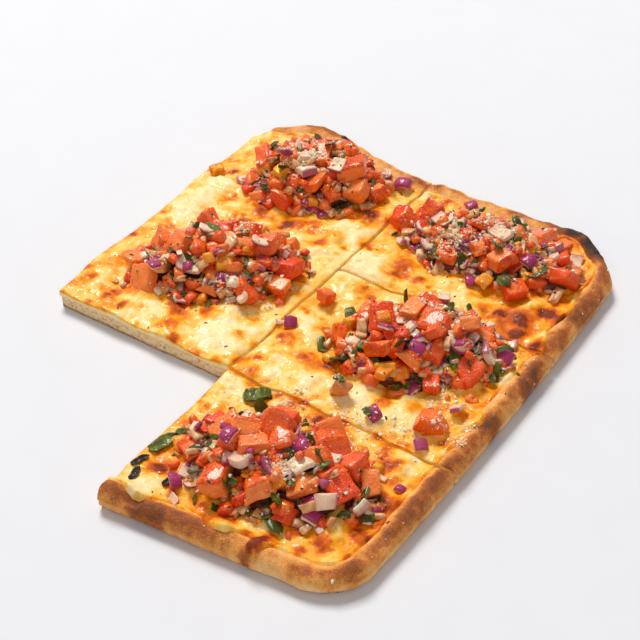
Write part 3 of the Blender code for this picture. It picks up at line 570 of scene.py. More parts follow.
def place(a, b):
    """Plan position of a point of the sheet: corners rounded, edges as uneven as they baked."""
    for side_a, side_b, radius, power in CORNERS:
        over_a = np.maximum(side_a * a - (HALF_W - radius), 0.0)
        over_b = np.maximum(side_b * b - (HALF_L - radius), 0.0)
        length = (over_a**power + over_b**power) ** (1.0 / power)
        pull = np.maximum(over_a, over_b) / np.maximum(length, TINY)
        pull = np.where(length > TINY, pull - 1.0, 0.0)
        a = a + side_a * over_a * pull
        b = b + side_b * over_b * pull
    right = 0.0028 - 0.0061 * ((b + 0.070) / 0.196) ** 2
    left = -0.0012 - 0.0024 * hump(b, -0.008, 0.022) - 0.0024 * hump(b, 0.078, 0.028)
    front = -0.0021 + 0.0906 * (a - LONG_CUT)
    back = -0.0051 + 0.036 * a + 0.0141 * hump(a, -0.083, 0.032)
    x = a + right * fade((a - LONG_CUT) / (HALF_W - LONG_CUT))
    x = x + left * fade((LONG_CUT - a) / (HALF_W + LONG_CUT))
    y = b + front * fade((FRONT_CUT - b) / (HALF_L + FRONT_CUT))
    y = y + back * fade((b - BACK_CUT) / (HALF_L - BACK_CUT))
    return x, y


def edge_distances(a, b):
    """Distance of a point of the sheet from each of its sides, and the place along that side."""
    return {
        "left": (HALF_W + a, b),
        "right": (HALF_W - a, b),
        "front": (HALF_L + b, a),
        "back": (HALF_L - b, a),
    }


def rim_height(side, along):
    """Height of the rim's crest along one side."""
    crest = RIM_CREST + 0.0007 * waves(along, 0.0 * along, 0.034, 71 + len(side))
    crest = crest + 0.0003 * waves(along, 0.0 * along, 0.013, 81 + len(side))
    for where, middle, reach, depth in PINCHES:
        if where == side:
            crest = crest - depth * hump(along, middle, reach)
    for where, middle, reach, height in SWELLS:
        if where == side:
            crest = crest + height * hump(along, middle, reach)
    return crest


def roll_share(b, start, run):
    """How much of the rim's roll the left side has: none, but where the back rim comes round to it."""
    return fade((b - (HALF_L - start)) / run)


def dough_top(a, b):
    """Height of the dough's upper face."""
    sides = edge_distances(a, b)
    nearest = np.minimum.reduce([inward for inward, _ in sides.values()])
    top = 0.0
    weights = 0.0
    for side, (inward, along) in sides.items():
        crest = rim_height(side, along)
        edge = EDGE_TOP
        if side == "left":
            share = roll_share(b, 0.0145, 0.0110)
            crest = DOUGH + share * (crest - DOUGH)
            edge = LIP_TOP + share * (EDGE_TOP - LIP_TOP)
        rise = np.clip(inward / RIM_CREST_IN, 0.0, 1.0)
        outer = edge + (crest - edge) * np.sqrt(1.0 - (1.0 - rise) ** 2)
        fall = fade((inward - RIM_CREST_IN) / (RIM_FOOT_IN - RIM_CREST_IN))
        height = np.where(inward < RIM_CREST_IN, outer, crest + (DOUGH - crest) * fall)
        weight = np.exp((nearest - inward) / MITRE)
        top = top + weight * height
        weights = weights + weight
    return top / weights


def rim_distance(a, b):
    """Distance of a point of the sheet from the nearest side that has a rim."""
    return np.minimum(HALF_W - a, np.minimum(HALF_L + b, HALF_L - b))


def cut_distance(slice_name, a, b):
    """Distance of a point of the sheet from the slice's nearest cut edge, or from the left lip."""
    a0, a1, b0, b1, edges = SLICES[slice_name]
    sides = {"left": a - a0, "right": a1 - a, "front": b - b0, "back": b1 - b}
    open_sides = [sides[side] for side in sides if side not in edges or side == "left"]
    return np.minimum.reduce(open_sides)


def cheese_top(slice_name, a, b):
    """Height of the cheese's upper face in the solids."""
    mounds = 0.0009 * waves(a, b, 0.030, 3) + 0.0004 * waves(a, b, 0.016, 4)
    thick = CHEESE + mounds
    thick = thick * (0.30 + 0.70 * fade((rim_distance(a, b) - RIM_FOOT_IN) / 0.008))
    droop = np.clip(cut_distance(slice_name, a, b) / 0.0032, 0.0, 1.0)
    thick = thick * (0.45 + 0.55 * np.sqrt(1.0 - (1.0 - droop) ** 2))
    return DOUGH + CLEARANCE + thick


def heap_point(heap, u, v):
    """Plan position from a place on the heap's own axes, where 1 is its outline."""
    turn = math.radians(heap["turn"])
    along = heap["reach"][0] * u
    across = heap["reach"][1] * v
    x = heap["centre"][0] + along * math.cos(turn) - across * math.sin(turn)
    y = heap["centre"][1] + along * math.sin(turn) + across * math.cos(turn)
    return x, y


def heap_share(heap, x, y):
    """How far out a plan position lies on the heap's own axes, where 1 is its outline."""
    turn = math.radians(heap["turn"])
    dx = x - heap["centre"][0]
    dy = y - heap["centre"][1]
    along = dx * math.cos(turn) + dy * math.sin(turn)
    across = dy * math.cos(turn) - dx * math.sin(turn)
    return np.hypot(along / heap["reach"][0], across / heap["reach"][1])


def drop_place(heap, outline, rng):
    """A random plan position over a heap, and how far out it lies."""
    far = outline * math.sqrt(rng.uniform())
    turn = rng.uniform(0.0, TURN)
    x, y = heap_point(heap, far * math.cos(turn), far * math.sin(turn))
    return far, x, y


def rest_height(rested, x, y, radius):
    """Height at which a dropped piece comes to rest on the cheese or on the pieces before it."""
    z = DOUGH + CLEARANCE + CHEESE + 0.8 * radius
    apart = np.hypot(rested[:, 0] - x, rested[:, 1] - y)
    touch = PACKING * (rested[:, 3] + radius)
    over = touch > apart
    if over.any():
        stand = np.sqrt(np.maximum(touch**2 - apart**2, 0.0))
        z = max(z, float((rested[:, 2] + stand)[over].max()))
    return z


def dome_height(heap, far):
    """Height of the dome that a heap fills, over the cheese, at a share of its outline."""
    return heap["height"] * (1.0 - min(far, 1.0) ** 2.4)


def depth_shade_of(points):
    """How far points lie inside their heap, from 0 on its outside to 1: the share of painted shade and
    juice they get.
    """
    x, y, z = points.T
    deep = np.zeros(len(points))
    for heap in HEAPS.values():
        far = np.minimum(heap_share(heap, x, y), 1.0)
        dome = heap["height"] * (1.0 - far**2.4)
        under = fade((DOUGH + CHEESE + dome - z) / DARKEST_DEPTH)
        deep = np.maximum(deep, np.where(far < 1.0, under, 0.0))
    return deep


def pile(heap):
    """Where the pieces of a heap lie, as (kind, x, y, z, size), as in its solid."""
    rng = np.random.default_rng(heap["seed"])
    order = []
    for kind, count, smallest, largest in heap["mix"]:
        for _ in range(count):
            order.append((kind, rng.uniform(smallest, largest)))
    order = [order[number] for number in rng.permutation(len(order))]
    ground = DOUGH + CLEARANCE + CHEESE
    a0, a1, b0, b1, _ = SLICES[heap["slice"]]
    placed = []
    rested = []
    for kind, x, y, size in heap["set"]:
        dome = dome_height(heap, float(heap_share(heap, x, y)))
        z = ground + max(SET_DEPTH * dome, 0.35 * size)
        placed.append((kind, x, y, z, size))
        rested.append((x, y, z, REST_SHARE * size))
    for kind, size in order:
        radius = size * (LEAF_REST_SHARE if kind == "basil" else REST_SHARE)
        best = None
        for _ in range(DROP_TRIES):
            far, x, y = drop_place(heap, DROP_OUTLINE, rng)
            x = float(np.clip(x, a0 + 0.65 * size, a1 - 0.65 * size))
            y = float(np.clip(y, b0 + 0.65 * size, b1 - 0.65 * size))
            z = rest_height(np.array(rested), x, y, radius)
            over = z - ground - dome_height(heap, far)
            if best is None or over < best[0]:
                best = (over, x, y, z)
        over, x, y, z = best
        if over < MOST_OVER:
            placed.append((kind, x, y, z, size))
            rested.append((x, y, z, radius))
    return placed


def chunk_corners(kind, size, seed):
    """The eight corners of one diced piece about its middle, as it lies turned."""
    rng = np.random.default_rng(seed)
    low, high = KINDS[kind]
    sides = size * rng.uniform(low, high)[::-1]
    lean = LEAF_LEAN if kind == "basil" else LEAN
    turn = Euler((rng.normal(0.0, lean), rng.normal(0.0, lean), rng.uniform(0.0, TURN)))
    corners = []
    for corner in range(8):
        signs = np.array([1 if corner >> axis & 1 else -1 for axis in range(3)])
        jitter = 1.0 + rng.uniform(-0.20, 0.20, 3)
        corners.append(turn.to_matrix() @ Vector(signs * sides * jitter / 2.0))
    return np.array(corners)


def spaced(start, end, step):
    """Evenly spaced values from start to end, about a step apart."""
    return np.linspace(start, end, max(2, round((end - start) / step)) + 1)


def added(name, data):
    """A new object in the scene."""
    made = bpy.data.objects.new(name, data)
    bpy.context.scene.collection.objects.link(made)
    return made


def taken(bm):
    """Points and faces of a shape in the making, which this ends."""
    points = np.array([vert.co for vert in bm.verts])
    faces = [[vert.index for vert in face.verts] for face in bm.faces]
    bm.free()
    return points, faces


def names_of(*families):
    """Names of the pieces of some families, each with one for every slice, heap or kind of topping."""
    members = {"flatbread": SLICES, "melted_cheese": SLICES, "mound": HEAPS}
    members.update({"diced": SLOTS, "chopped": SLOTS})
    return [family + "_" + member for family in families for member in members[family]]


def put(name, points, faces, masks, material):
    """Ends a piece: its mesh at the sheet's place, with its masks, its material and what it rides on."""
    mesh = bpy.data.meshes.new(name)
    mesh.from_pydata((np.asarray(points) + SHEET_PLACE).tolist(), [], [list(face) for face in faces])
    mesh.update()
    for mask, values in masks.items():
        attribute = mesh.attributes.new(mask, "FLOAT", "POINT")
        attribute.data.foreach_set("value", np.asarray(values, np.float32))
    mesh.shade_smooth()
    mesh.materials.append(material)
    piece = added(name, mesh)
    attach(piece, "root")
    return piece


def grid(columns, rows):
    """Four-sided faces of a grid of points, and the loop of points round it."""
    number = np.arange(columns * rows).reshape(rows, columns)
    quads = np.stack((number[:-1, :-1], number[:-1, 1:], number[1:, 1:], number[1:, :-1]), -1)
    border = np.concatenate((number[0, :-1], number[:-1, -1], number[-1, :0:-1], number[:0:-1, 0]))
    return quads.reshape(-1, 4), border


def skirt(upper, lower):
    """Four-sided faces between a loop of points and the one below it."""
    return np.stack((upper, lower, np.roll(lower, -1), np.roll(upper, -1)), -1)


def sheet_points(a_lines, b_lines, rings):
    """Place on the sheet and ring of every point, and the faces: grid, rings down its edge, underside."""
    quads, border = grid(len(a_lines), len(b_lines))
    a, b = (plane.ravel() for plane in np.meshgrid(a_lines, b_lines))
    loops = [border]
    for ring in range(rings):
        loops.append(len(a) + ring * len(border) + np.arange(len(border)))
    faces = quads.tolist()
    for upper, lower in zip(loops[:-1], loops[1:]):
        faces += skirt(upper, lower).tolist()
    faces.append(loops[-1][::-1].tolist())
    ring_of = np.concatenate((np.zeros(len(a)), np.repeat(np.arange(1.0, rings + 1.0), len(border))))
    all_a = np.concatenate([a] + [a[border]] * rings)
    all_b = np.concatenate([b] + [b[border]] * rings)
    return all_a, all_b, ring_of, faces


def profile_at(profile, start, share_down):
    """Height and reach of an edge's profile at a share of the way down it."""
    rings = np.array((start, *profile))
    share = np.clip(share_down, 0.0, 1.0) * (len(rings) - 1)
    low = np.minimum(np.floor(share).astype(int), len(rings) - 2)
    over = share - low
    height = rings[low, 0] + (rings[low + 1, 0] - rings[low, 0]) * over
    reach = rings[low, 1] + (rings[low + 1, 1] - rings[low, 1]) * fade(over)
    return height, reach


def slice_edges(slice_name):
    """The limits of a slice on the sheet, in from its cuts by half the knife's gap."""
    a0, a1, b0, b1, edges = SLICES[slice_name]
    limits = {"left": a0, "right": a1, "front": b0, "back": b1}
    inward = {"left": 1, "right": -1, "front": 1, "back": -1}
    return {side: limits[side] + (0 if side in edges else inward[side] * CUT_GAP) for side in limits}


def crust_bake_and_shade(a, b, x, y, z):
    """How dark the crust is, from 0, pale, to 1, charred: its baking, with painted shade on the rim's outer
    side at the right and the front.
    """
    inward = np.minimum(rim_distance(a, b), 0.020)
    crest = hump(inward, 0.0042, 0.0036)
    bake_and_shade = 0.19 + 0.16 * crest + 0.12 * rough(x, y, 0.014, 21) + 0.09 * rough(x, y, 0.0045, 25)
    streaks = fade(0.38 + 1.1 * rough(x, y, 0.020, 31)) * (0.8 + 0.4 * rough(x, y, 0.0035, 33))
    bake_and_shade = bake_and_shade + 0.44 * crest * streaks
    # The rim's outer side at the right and the front is darkened further: painted shade of the sides turned
    # from the key light
    outward = hump(inward, 0.0026, 0.0028) * fade((z - 0.0050) / 0.0030)
    shaded_side = fade((a - 0.080) / 0.020) + 0.6 * fade((-0.110 - b) / 0.020) * fade((0.070 - a) / 0.040)
    bake_and_shade = bake_and_shade + outward * np.minimum(shaded_side, 1.0) * (0.20 + 0.12 * rough(x, y, 0.0090, 35))
    low = fade((0.0078 - z) / 0.0035)
    bake_and_shade = bake_and_shade - 0.10 * low + 0.30 * fade((0.0018 - z) / 0.0018)
    for spot_x, spot_y, reach, dark in SCORCHES:
        ragged = reach * (1.0 + 0.55 * rough(x, y, 0.0045, 37))
        bake_and_shade = bake_and_shade + 0.78 * dark * mound(x, y, (spot_x, spot_y), ragged)
    burnt_corner = mound(x, y, *BURNT_CORNER) * fade(0.7 + rough(x, y, 0.0080, 39))
    return np.clip(held_back(bake_and_shade, 0.54, 0.40) + 0.50 * burnt_corner, 0.0, 1.0)


def dough_slice(slice_name):
    """Points, faces and masks of one slice of the flatbread."""
    edges = SLICES[slice_name][4]
    limits = slice_edges(slice_name)
    a_lines = spaced(limits["left"], limits["right"], DOUGH_STEP)
    b_lines = spaced(limits["front"], limits["back"], DOUGH_STEP)
    a, b, ring, faces = sheet_points(a_lines, b_lines, EDGE_RINGS)
    down = ring / EDGE_RINGS
    top = dough_top(a, b)
    z = top * (1.0 - down)
    out = {"a": np.zeros_like(a), "b": np.zeros_like(b)}
    wall = np.where(ring > 0, 1.0, 0.0)
    for side, across, outward in (("left", a, -1), ("right", a, 1), ("front", b, -1), ("back", b, 1)):
        on_side = (np.abs(across - limits[side]) < TINY) & (ring > 0)
        axis = "a" if side in ("left", "right") else "b"
        if side in edges:
            height, reach = profile_at(ROLL, (EDGE_TOP, 0.0), down)
            if side == "left":
                share = roll_share(b, 0.036, 0.026)
                low, back = profile_at(LIP, (LIP_TOP, 0.0), down)
                height = low + share * (height - low)
                reach = back + share * (reach - back)
            z = np.where(on_side, height, z)
            reach = reach - 0.0009 * fade(down * 3.0) * (0.5 + 0.5 * rough(a + b, z * 2.0, 0.008, 41))
            out[axis] = out[axis] + np.where(on_side, outward * reach, 0.0)
            wall = np.where(on_side, 0.0, wall)
        else:
            open_crumb = 0.00018 * (1.0 + rough(a + b, z * 1.6, 0.0024, 43)) * fade(down * 4.0)
            open_crumb = open_crumb + 0.00034 * (1.0 + rough(a + b, z, 0.0075, 44)) * fade(down * 2.5)
            out[axis] = out[axis] + np.where(on_side, -outward * open_crumb, 0.0)
    x, y = place(a + out["a"], b + out["b"])
    skin = np.where(ring > 0, 0.0, 1.0) * fade(rim_distance(a, b) / 0.0015)
    crest = fade((0.0085 - rim_distance(a, b)) / 0.003)
    z = z - skin * 0.00022 * (1.0 + rough(x, y, 0.0042, 45))
    z = z + skin * crest * (0.0011 * rough(x, y, 0.0120, 47) + 0.0004 * rough(x, y, 0.0040, 48))
    bake_and_shade = crust_bake_and_shade(a, b, x, y, z)
    return np.column_stack((x, y, z)), faces, {"bake_and_shade": bake_and_shade, "wall": wall}


def run_out(x, y):
    """How far the cheese ran out over the rim beyond its usual edge."""
    far = 0.0016 * rough(x, y, 0.011, 51)
    for spot_x, spot_y, reach, distance in RUNS:
        far = far + distance * mound(x, y, (spot_x, spot_y), reach)
    return far


def bubbles():
    """Small bubbles all over the cheese, on a jittered grid: place, reach and how dark."""
    rng = np.random.default_rng(97)
    made = []
    for x in np.arange(-0.122, 0.124, BUBBLE_STEP):
        for y in np.arange(-0.154, 0.156, BUBBLE_STEP):
            shift = rng.uniform(-BUBBLE_SHIFT, BUBBLE_SHIFT, 2)
            reach = rng.uniform(*BUBBLE_REACH)
            dark = rng.uniform(*BUBBLE_DARK)
            made.append((x + shift[0], y + shift[1], reach, max(dark, 0.0)))
    return made


def cheese_lumps(x, y):
    """How far the cheese stands up or sinks, from about -1 in its valleys to 1 on its mounds."""
    lumps = 0.10
    for share, span, seed in CHEESE_LUMPS:
        lumps = lumps + share * rough(x, y, span, seed)
    for spot_x, spot_y, reach in MOUNDS:
        lumps = lumps + 0.75 * mound(x, y, (spot_x, spot_y), reach)
    return lumps


def cheese_bake_and_shade(slice_name, a, b, x, y, lumps):
    """How dark the cheese is, from 0, cream, to 1, dark brown: its baking, darker round the heaps, and
    painted shade along the cuts.
    """
    bake_and_shade = 0.29 - 0.34 * lumps + 0.10 * rough(x, y, 0.0050, 66)
    bake_and_shade = np.clip(bake_and_shade, 0.03, 0.50) + 0.06 * rough(x, y, 0.0026, 68)
    freckles = rough(x, y, 0.0085, 65) + 0.35 * rough(x, y, 0.0030, 69)
    bake_and_shade = bake_and_shade + 0.26 * fade((freckles - 0.16) / 0.5) * fade((0.50 - lumps) / 0.7)
    ragged = 1.0 + 0.50 * rough(x, y, 0.0036, 73)
    for spot_x, spot_y, reach, dark in bubbles():
        pale = max(float(mound(spot_x, spot_y, other[:2], 0.8 * other[2])) for other in MOUNDS)
        bake_and_shade = bake_and_shade + dark * (1.0 - 0.9 * pale) * spot(x, y, (spot_x, spot_y), reach * ragged)
        bake_and_shade = bake_and_shade + 0.35 * dark * (1.0 - 0.9 * pale) * mound(x, y, (spot_x, spot_y), 2.2 * reach)
    for heap in HEAPS.values():
        bake_and_shade = bake_and_shade + 0.07 * fade((1.30 - heap_share(heap, x, y)) / 0.25)
    for spot_x, spot_y, reach, dark in BLISTERS:
        centre = (spot_x, spot_y)
        bake_and_shade = bake_and_shade + 0.42 * dark * mound(x, y, centre, 1.25 * reach)
        bake_and_shade = bake_and_shade + 0.62 * dark * spot(x, y, centre, 0.85 * reach * ragged)
    # Darker within about a millimetre of the cuts: painted shade of the knife's gap, and browning along the
    # left lip
    cut = cut_distance(slice_name, a, b)
    bake_and_shade = bake_and_shade + (0.10 + 0.16 * fade(0.5 + 1.4 * grain(x, y, 0.016, 75))) * np.exp(-cut / 0.0011)
    near_rim = fade((0.0170 - rim_distance(a, b)) / 0.007)
    bake_and_shade = bake_and_shade + 0.24 * near_rim * fade(0.4 + 1.3 * rough(x, y, 0.010, 77))
    browner = sum(share * mound(x, y, centre, reach) for centre, reach, share in BROWNER)
    bake_and_shade = bake_and_shade + 0.20 * browner * fade(0.6 + rough(x, y, 0.0060, 79))
    return np.clip(held_back(bake_and_shade, 0.64, 0.60), 0.0, 1.0)


def cheese_slice(slice_name):
    """Points, faces and masks of the cheese on one slice."""
    edges = SLICES[slice_name][4]
    limits = slice_edges(slice_name)
    for side in edges:
        limits[side] = limits[side] + CHEESE_IN[side]
    a_lines = spaced(limits["left"], limits["right"], CHEESE_STEP)
    b_lines = spaced(limits["front"], limits["back"], CHEESE_STEP)
    a, b, ring, faces = sheet_points(a_lines, b_lines, CHEESE_RINGS)
    x, y = place(a, b)
    lumps = cheese_lumps(x, y)
    inside = fade(cut_distance(slice_name, a, b) / 0.005)
    thick = np.maximum(cheese_top(slice_name, a, b) - DOUGH, 0.0017 * (0.5 + 0.5 * inside))
    thick = thick + inside * (0.0016 * lumps - 0.0002) + 0.00022 * rough(x, y, 0.0024, 85)
    for spot_x, spot_y, reach, _ in (*BLISTERS, *bubbles()):
        thick = thick + min(0.17 * reach, 0.0012) * inside * spot(x, y, (spot_x, spot_y), 0.9 * reach)
    thick = np.maximum(thick, 0.0004)
    bake_and_shade = cheese_bake_and_shade(slice_name, a, b, x, y, lumps)
    at_cut = fade(2.0 - cut_distance(slice_name, a, b) / 0.001)
    bake_and_shade = bake_and_shade * (1.0 - 0.85 * fade((ring - 0.3) / 1.2) * at_cut)
    margin = rim_distance(a, b) - (0.0085 - run_out(x, y))
    held = fade(margin / 0.0030)
    thick = thick * held - 0.0016 * (1.0 - held)
    low = ring / CHEESE_RINGS
    z = (dough_top(a, b) + thick) * (1.0 - low) + (DOUGH - CHEESE_SUNK) * low
    return np.column_stack((x, y, z)), faces, {"bake_and_shade": bake_and_shade}


def block(segments, rounding):
    """A cube's surface with rounded edges: points of -1 to 1, and four-sided faces."""
    bm = bmesh.new()
    bmesh.ops.create_cube(bm, size=2.0)
    bmesh.ops.subdivide_edges(bm, edges=bm.edges[:], cuts=segments - 1, use_grid_fill=True)
    points, faces = taken(bm)
    bent = np.sign(points) * (1.0 - (1.0 - np.abs(points)) ** 1.25)
    inner = np.clip(bent, rounding - 1.0, 1.0 - rounding)
    away = bent - inner
    length = np.maximum(np.linalg.norm(away, axis=1, keepdims=True), TINY)
    return np.where(length > TINY, inner + rounding * away / length, bent), np.array(faces)


def dent(points, rng, span):
    """Unevenness of about -1 to 1 over a piece's own points."""
    total = 0.0
    for _ in range(3):
        heading = rng.normal(0.0, 1.0, 3)
        heading = heading / np.linalg.norm(heading)
        total = total + np.sin((points @ heading) * TURN / span + rng.uniform(0.0, 6.28))
    return total / 3.0


def carved(kind, corners, body, rng):
    """Points and masks of one diced piece: a rounded block, cut and bent as its kind is."""
    q = body.copy()
    u, v, w = q.T
    axis = rng.integers(0, 3)
    side = rng.choice((-1.0, 1.0))
    if kind in ("tomato", "pepper"):
        taper = rng.uniform(-0.12, 0.55)
        u = u * (1.0 - 0.5 * taper * (1.0 + side * w))
        v = v + rng.uniform(-0.18, 0.18) * w
        q = np.column_stack((u, v, w))
        others = [number for number in range(3) if number != axis]
        dome = (1.0 - 0.55 * q[:, others[0]] ** 2) * (1.0 - 0.55 * q[:, others[1]] ** 2)
        outer = fade(side * body[:, axis])
        q[:, axis] = q[:, axis] * (0.86 + outer * (0.30 * dome - 0.12))
        q = q * (1.0 - 0.09 * (1.0 + dent(q, rng, 1.1)))[:, None]
        skin = fade((side * body[:, axis] - 0.66) / 0.16)
    elif kind == "onion":
        arch = 0.80 * (u**2 - 0.45) + 0.20 * (v**2 - 0.4)
        q = np.column_stack((0.90 * u, 0.90 * v, np.clip(0.80 * w + side * arch, -1.45, 1.45)))
        q = q * (1.0 - 0.03 * (1.0 + dent(q, rng, 1.8)))[:, None]
        coloured = rng.uniform()
        skin = fade((-side * body[:, 2] + 0.20) / 0.50) * fade((coloured - 0.32) / 0.2)
        skin = np.maximum(skin, fade((coloured - 0.86) / 0.1) * (0.75 + 0.2 * dent(body, rng, 2.0)))
        skin = np.maximum(skin, 0.85 * fade((side * body[:, 0] - 0.70) / 0.25))
    elif kind == "garlic":
        q = q * (1.0 - 0.16 * (1.0 + dent(q, rng, 1.3)))[:, None]
        skin = fade(0.5 + 0.9 * dent(body, rng, 1.5)) * fade((np.abs(body).max(axis=1) - 0.5) / 0.5)
    elif kind == "basil":
        wave = 1.5 * np.sin(2.4 * u + rng.uniform(0, 6)) + 1.0 * np.sin(3.9 * v + rng.uniform(0, 6))
        narrow = np.sqrt(np.maximum(0.10, 1.0 - np.abs(u) ** 2.2)) * (1.0 + 0.15 * np.sin(6.0 * u))
        q = np.column_stack((u, 1.25 * v * narrow, 0.45 * w + wave))
        skin = fade(0.30 + 0.6 * dent(body, rng, 2.5)) * rng.uniform()
    else:
        q = q * (1.0 - 0.12 * (1.0 + dent(q, rng, 0.9)))[:, None]
        skin = fade(0.5 + 0.5 * dent(body, rng, 1.0))
    weights = np.ones((len(q), 8))
    for corner in range(8):
        for number in range(3):
            sign = 1 if corner >> number & 1 else -1
            weights[:, corner] *= (1.0 + sign * q[:, number]) / 2.0
    return weights @ corners, skin


class Batch:
    """Gathers pieces of one kind into the points, faces and masks of one mesh."""

    def __init__(self):
        self.points = []
        self.faces = []
        self.skin = []
        self.tone = []
        self.count = 0

    def add(self, points, faces, skin, tone):
        """Takes in one more piece."""
        self.points.append(points)
        self.faces.append(faces + self.count)
        self.skin.append(skin)
        self.tone.append(np.full(len(points), tone))
        self.count += len(points)

    def end(self, name, material, slot):
        """Makes the mesh of all pieces."""
        points = np.concatenate(self.points)
        masks = {"skin": np.concatenate(self.skin), "tone": np.concatenate(self.tone)}
        # Pieces far inside a heap get painted shade, with juice, over their colour
        masks["deep"] = depth_shade_of(points)
        return put(name, points, np.concatenate(self.faces).tolist(), masks, material)


def fall(trees, x, y):
    """Height of what lies under a plan position, its slope and whose it is, or None past every edge."""
    best = None
    for number, tree in enumerate(trees):
        hit, normal, _, _ = tree.ray_cast((x, y, FALL_HEIGHT), (0.0, 0.0, -1.0))
        if hit is not None and (best is None or hit.z > best[0]):
            best = (hit.z, normal.z, number)
    return best


def trees_of(names):
    """What can be hit of pieces that are already made, in the sheet's own place."""
    graph = bpy.context.evaluated_depsgraph_get()
    trees = []
    for name in names:
        piece = bpy.data.objects[name]
        mesh = piece.evaluated_get(graph).data
        points = np.empty(len(mesh.vertices) * 3)
        mesh.vertices.foreach_get("co", points)
        points = points.reshape(-1, 3) - SHEET_PLACE
        faces = [list(face.vertices) for face in mesh.polygons if len(face.vertices) < 5]
        trees.append(BVHTree.FromPolygons(points.tolist(), faces))
    return trees


def new_material(name):
    """A material with its nodes and its Principled shader."""
    material = bpy.data.materials.new(name)
    material.use_nodes = True
    return material, material.node_tree, material.node_tree.nodes["Principled BSDF"]


def feed(tree, made, values):
    """Links a node's inputs or sets them, by name or number."""
    for socket, value in values.items():
        if isinstance(value, bpy.types.NodeSocket):
            tree.links.new(value, made.inputs[socket])
        else:
            made.inputs[socket].default_value = value


def node(tree, kind, values=None, **settings):
    """A node with its settings, and its inputs linked or set."""
    made = tree.nodes.new(kind)
    for setting, value in settings.items():
        setattr(made, setting, value)
    feed(tree, made, values or {})
    return made


def blend(tree, share, first, second, mode="MIX"):
    """The colour between two colours, or one laid over the other."""
    values = {0: share}
    for socket, colour in ((6, first), (7, second)):
        values[socket] = colour if isinstance(colour, bpy.types.NodeSocket) else (*colour, 1.0)
    return node(tree, "ShaderNodeMix", values, data_type="RGBA", blend_type=mode).outputs[2]


def soft(tree, shader, weight, radius):
    """Lets light a little way into a shader's food."""
    values = {"Subsurface Weight": weight, "Subsurface Radius": radius, "Subsurface Scale": 1.0}
    feed(tree, shader, values)


def sums(tree, operation, first, second, third=None):
    """One step of arithmetic."""
    links = {0: first, 1: second}
    if third is not None:
        links[2] = third
    return node(tree, "ShaderNodeMath", links, operation=operation).outputs[0]


def spread(tree, value, low, high, start=0.0, end=1.0):
    """A value's range brought smoothly to another range."""
    links = {"Value": value, "From Min": low, "From Max": high, "To Min": start, "To Max": end}
    return node(tree, "ShaderNodeMapRange", links, interpolation_type="SMOOTHSTEP").outputs[0]


def mask(tree, name):
    """A mask that a mesh carries."""
    return node(tree, "ShaderNodeAttribute", attribute_name=name).outputs["Fac"]


def scale_of(tree, colours, share):
    """A scale of colours, read at a share of 0 to 1."""
    ramp = node(tree, "ShaderNodeValToRGB", {"Fac": share})
    stops = ramp.color_ramp.elements
    while len(stops) < len(colours):
        stops.new(0.5)
    for stop, (position, colour) in zip(stops, colours):
        stop.position = position
        stop.color = (*colour, 1.0)
    return ramp.outputs["Color"]


def object_place(tree):
    """The place on the object itself, which patterns follow."""
    return node(tree, "ShaderNodeTexCoord").outputs["Object"]


def noise(tree, scale, detail, roughness=0.5):
    """Cloudy noise on the object."""
    values = {"Vector": object_place(tree), "Scale": scale, "Detail": detail, "Roughness": roughness}
    return node(tree, "ShaderNodeTexNoise", values).outputs[0]


def grain_group():
    """A node group, shared by every food: fine mottling in two sizes and small wet spots."""
    if "Food grain" in bpy.data.node_groups:
        return bpy.data.node_groups["Food grain"]
    tree = bpy.data.node_groups.new("Food grain", "ShaderNodeTree")
    for given_size in ("Coarse", "Fine"):
        tree.interface.new_socket(given_size, in_out="INPUT", socket_type="NodeSocketFloat")
    for output in ("Mottle", "Pits", "Wet", "Specks"):
        tree.interface.new_socket(output, in_out="OUTPUT", socket_type="NodeSocketFloat")
    given = tree.nodes.new("NodeGroupInput")
    coarse = noise(tree, given.outputs[0], 4.0)
    fine = noise(tree, given.outputs[1], 3.0)
    at = {"Vector": object_place(tree), "Scale": given.outputs[1]}
    drops = node(tree, "ShaderNodeTexVoronoi", at).outputs["Distance"]
    results = {
        "Mottle": sums(tree, "SUBTRACT", sums(tree, "ADD", coarse, fine), 1.0),
        "Pits": spread(tree, drops, 0.10, 0.55),
        "Wet": spread(tree, coarse, 0.46, 0.62),
        "Specks": spread(tree, drops, 0.12, 0.26, 1.0, 0.0),
    }
    node(tree, "NodeGroupOutput", results)
    return tree


def grained(tree, coarse, fine):
    """Places the shared grain in a material, with its own sizes."""
    sizes = {"Coarse": coarse, "Fine": fine}
    return node(tree, "ShaderNodeGroup", sizes, node_tree=grain_group()).outputs


def relief(tree, height, strength, distance):
    """The direction of a surface with fine relief."""
    values = {"Height": height, "Strength": strength, "Distance": distance}
    return node(tree, "ShaderNodeBump", values).outputs["Normal"]


def darker(colour, share):
    """A colour at a share of its light."""
    return tuple(share * part for part in colour)


